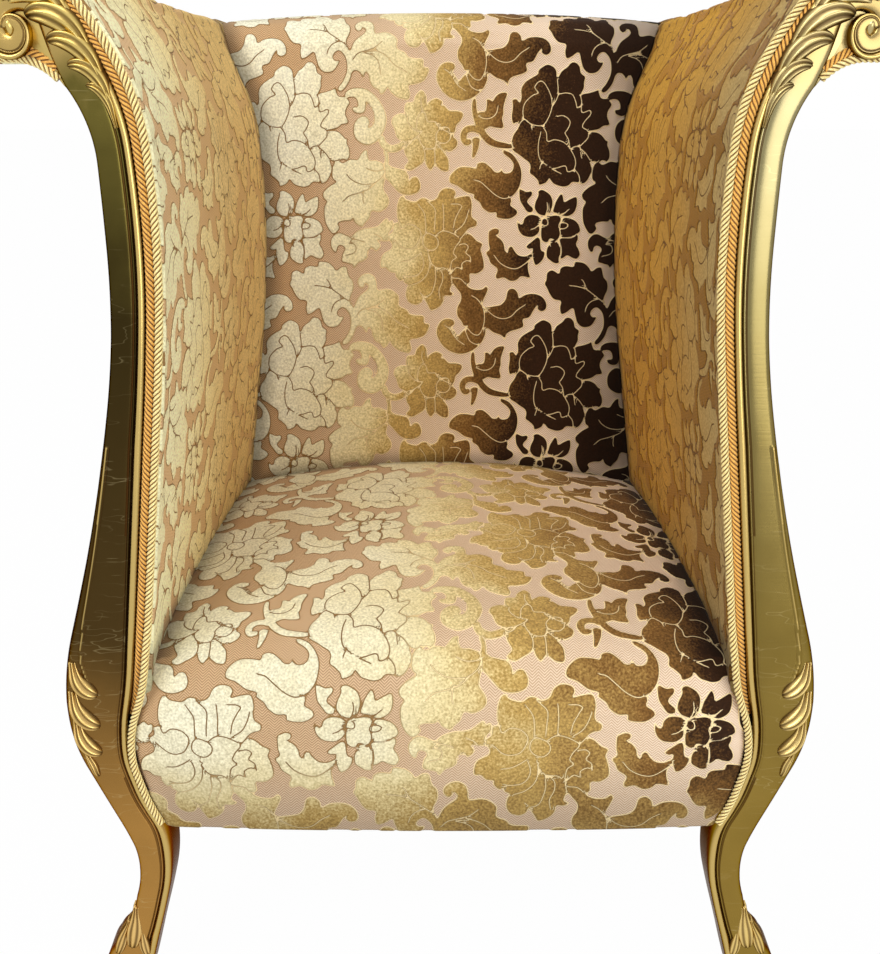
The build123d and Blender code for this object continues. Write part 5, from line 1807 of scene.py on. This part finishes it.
# The last colour of each cord is the painted shade between its strands.
gold_yarn = cord_look("gold_cord", colour(255, 247, 180), colour(241, 206, 124), colour(152, 111, 51))
gold_yarn.put_on(*gold_cords)
bronze_yarn = cord_look("bronze_cord", colour(251, 193, 94), colour(221, 159, 64), colour(135, 87, 29))
bronze_yarn.put_on(*bronze_cords, *edge_cords)
outside_cloth = cloth_look("outside_fabric", colour(214, 180, 128), colour(190, 150, 98))
outside_cloth.put_on(*outside_pieces)
SLOT_LOOKS = {
    "gilded_wood": post_gold_painted_reflection,
    "frame_wood": wood_look("frame_wood", colour(196, 156, 104), colour(164, 120, 74)),
    "webbing": cloth_look("webbing", colour(196, 172, 132), colour(150, 124, 86)),
    "hessian": cloth_look("hessian", colour(190, 160, 112), colour(150, 118, 74)),
    "dust_cover": cloth_look("dust_cover", colour(52, 48, 44), colour(34, 32, 30)),
    "glide": Look("glide", Base_Color=colour(60, 58, 56), Metallic=0.0, Roughness=0.5),
}
for part in frame["record"]["subparts"]:
    if part["material_slot"] in SLOT_LOOKS:
        SLOT_LOOKS[part["material_slot"]].put_on(frame["nodes"][part["node"]])

# Floor, light and camera
WHITE = (1.0, 1.0, 1.0, 1.0)
PALE = (0.86, 0.86, 0.86, 1.0)
FLOOR_HALF = 12.0
FLOOR_WHITE = 0.985
LAMP_SIZE = 1.4
AMBIENT = 0.42
CAMERA_PITCH = 20.5
CAMERA_HEIGHT = 971.0
CAMERA_BEFORE = 1015.6
FOCAL_PIXELS, PHOTO_HEIGHT = 1185, 954
SENSOR = 36
NEAREST = 0.01


def shown(tree):
    """One for a ray from the camera, off metal or through glass, else nothing."""
    rays = ("Is Camera Ray", "Is Glossy Ray", "Is Transmission Ray")
    seen, glossy, through = (Wire.node(tree, "ShaderNodeLightPath", output=ray) for ray in rays)
    return 1 - (1 - seen) * (1 - glossy) * (1 - through)


def pale_look(name):
    """White as seen or mirrored, with some of the shadow that falls on it."""
    look = Look(name, Base_Color=PALE, Roughness=0.9, Specular_IOR_Level=0.05)
    white = look.node("ShaderNodeEmission", {"Color": WHITE, "Strength": 1.0})
    plain = Wire(look.tree, look.shader.outputs["BSDF"])
    mixed = look.node("ShaderNodeMixShader", {0: shown(look.tree) * FLOOR_WHITE, 1: plain, 2: white})
    look.tree.links.new(mixed.socket, look.tree.nodes["Material Output"].inputs["Surface"])
    return look


work = bmesh.new()
bmesh.ops.create_grid(work, x_segments=1, y_segments=1, size=FLOOR_HALF)
floor = finish_mesh(work, "floor", smooth=False)
floor.parent = None
pale_look("floor").put_on(floor)


def lamp(name, place, target, power):
    """A square area light that faces a target."""
    light = bpy.data.lights.new(name, "AREA")
    light.size = LAMP_SIZE
    light.energy = power
    made = bpy.data.objects.new(name, light)
    made.location = place
    aim = Vector(target) - Vector(place)
    made.rotation_euler = aim.to_track_quat("-Z", "Y").to_euler()
    bpy.context.scene.collection.objects.link(made)


lamp("key", place=(-1.4, -2.2, 2.5), target=(0, 0, 0.6), power=40)
lamp("fill", place=(1.15, -2.4, 0.7), target=(0, 0, 0.6), power=21)
lamp("top", place=(0.0, -0.5, 2.8), target=(0, 0, 0.5), power=19)

world = bpy.data.worlds.new("studio")
world.use_nodes = True
bpy.context.scene.world = world
tree = world.node_tree
background = tree.nodes["Background"]
pale = shown(tree)
tree.links.new((pale + (1 - pale) * AMBIENT).socket, background.inputs["Strength"])
background.inputs["Color"].default_value = WHITE

camera = bpy.data.objects.new("camera", bpy.data.cameras.new("camera"))
camera.location = (0.0, (POST_FACE_Y - CAMERA_BEFORE) * MM, CAMERA_HEIGHT * MM)
camera.rotation_euler = (radians(90 - CAMERA_PITCH), 0.0, 0.0)
camera.data.lens = FOCAL_PIXELS / PHOTO_HEIGHT * SENSOR
camera.data.clip_start = NEAREST
bpy.context.scene.collection.objects.link(camera)
bpy.context.scene.camera = camera
bpy.context.scene.view_settings.view_transform = "Standard"
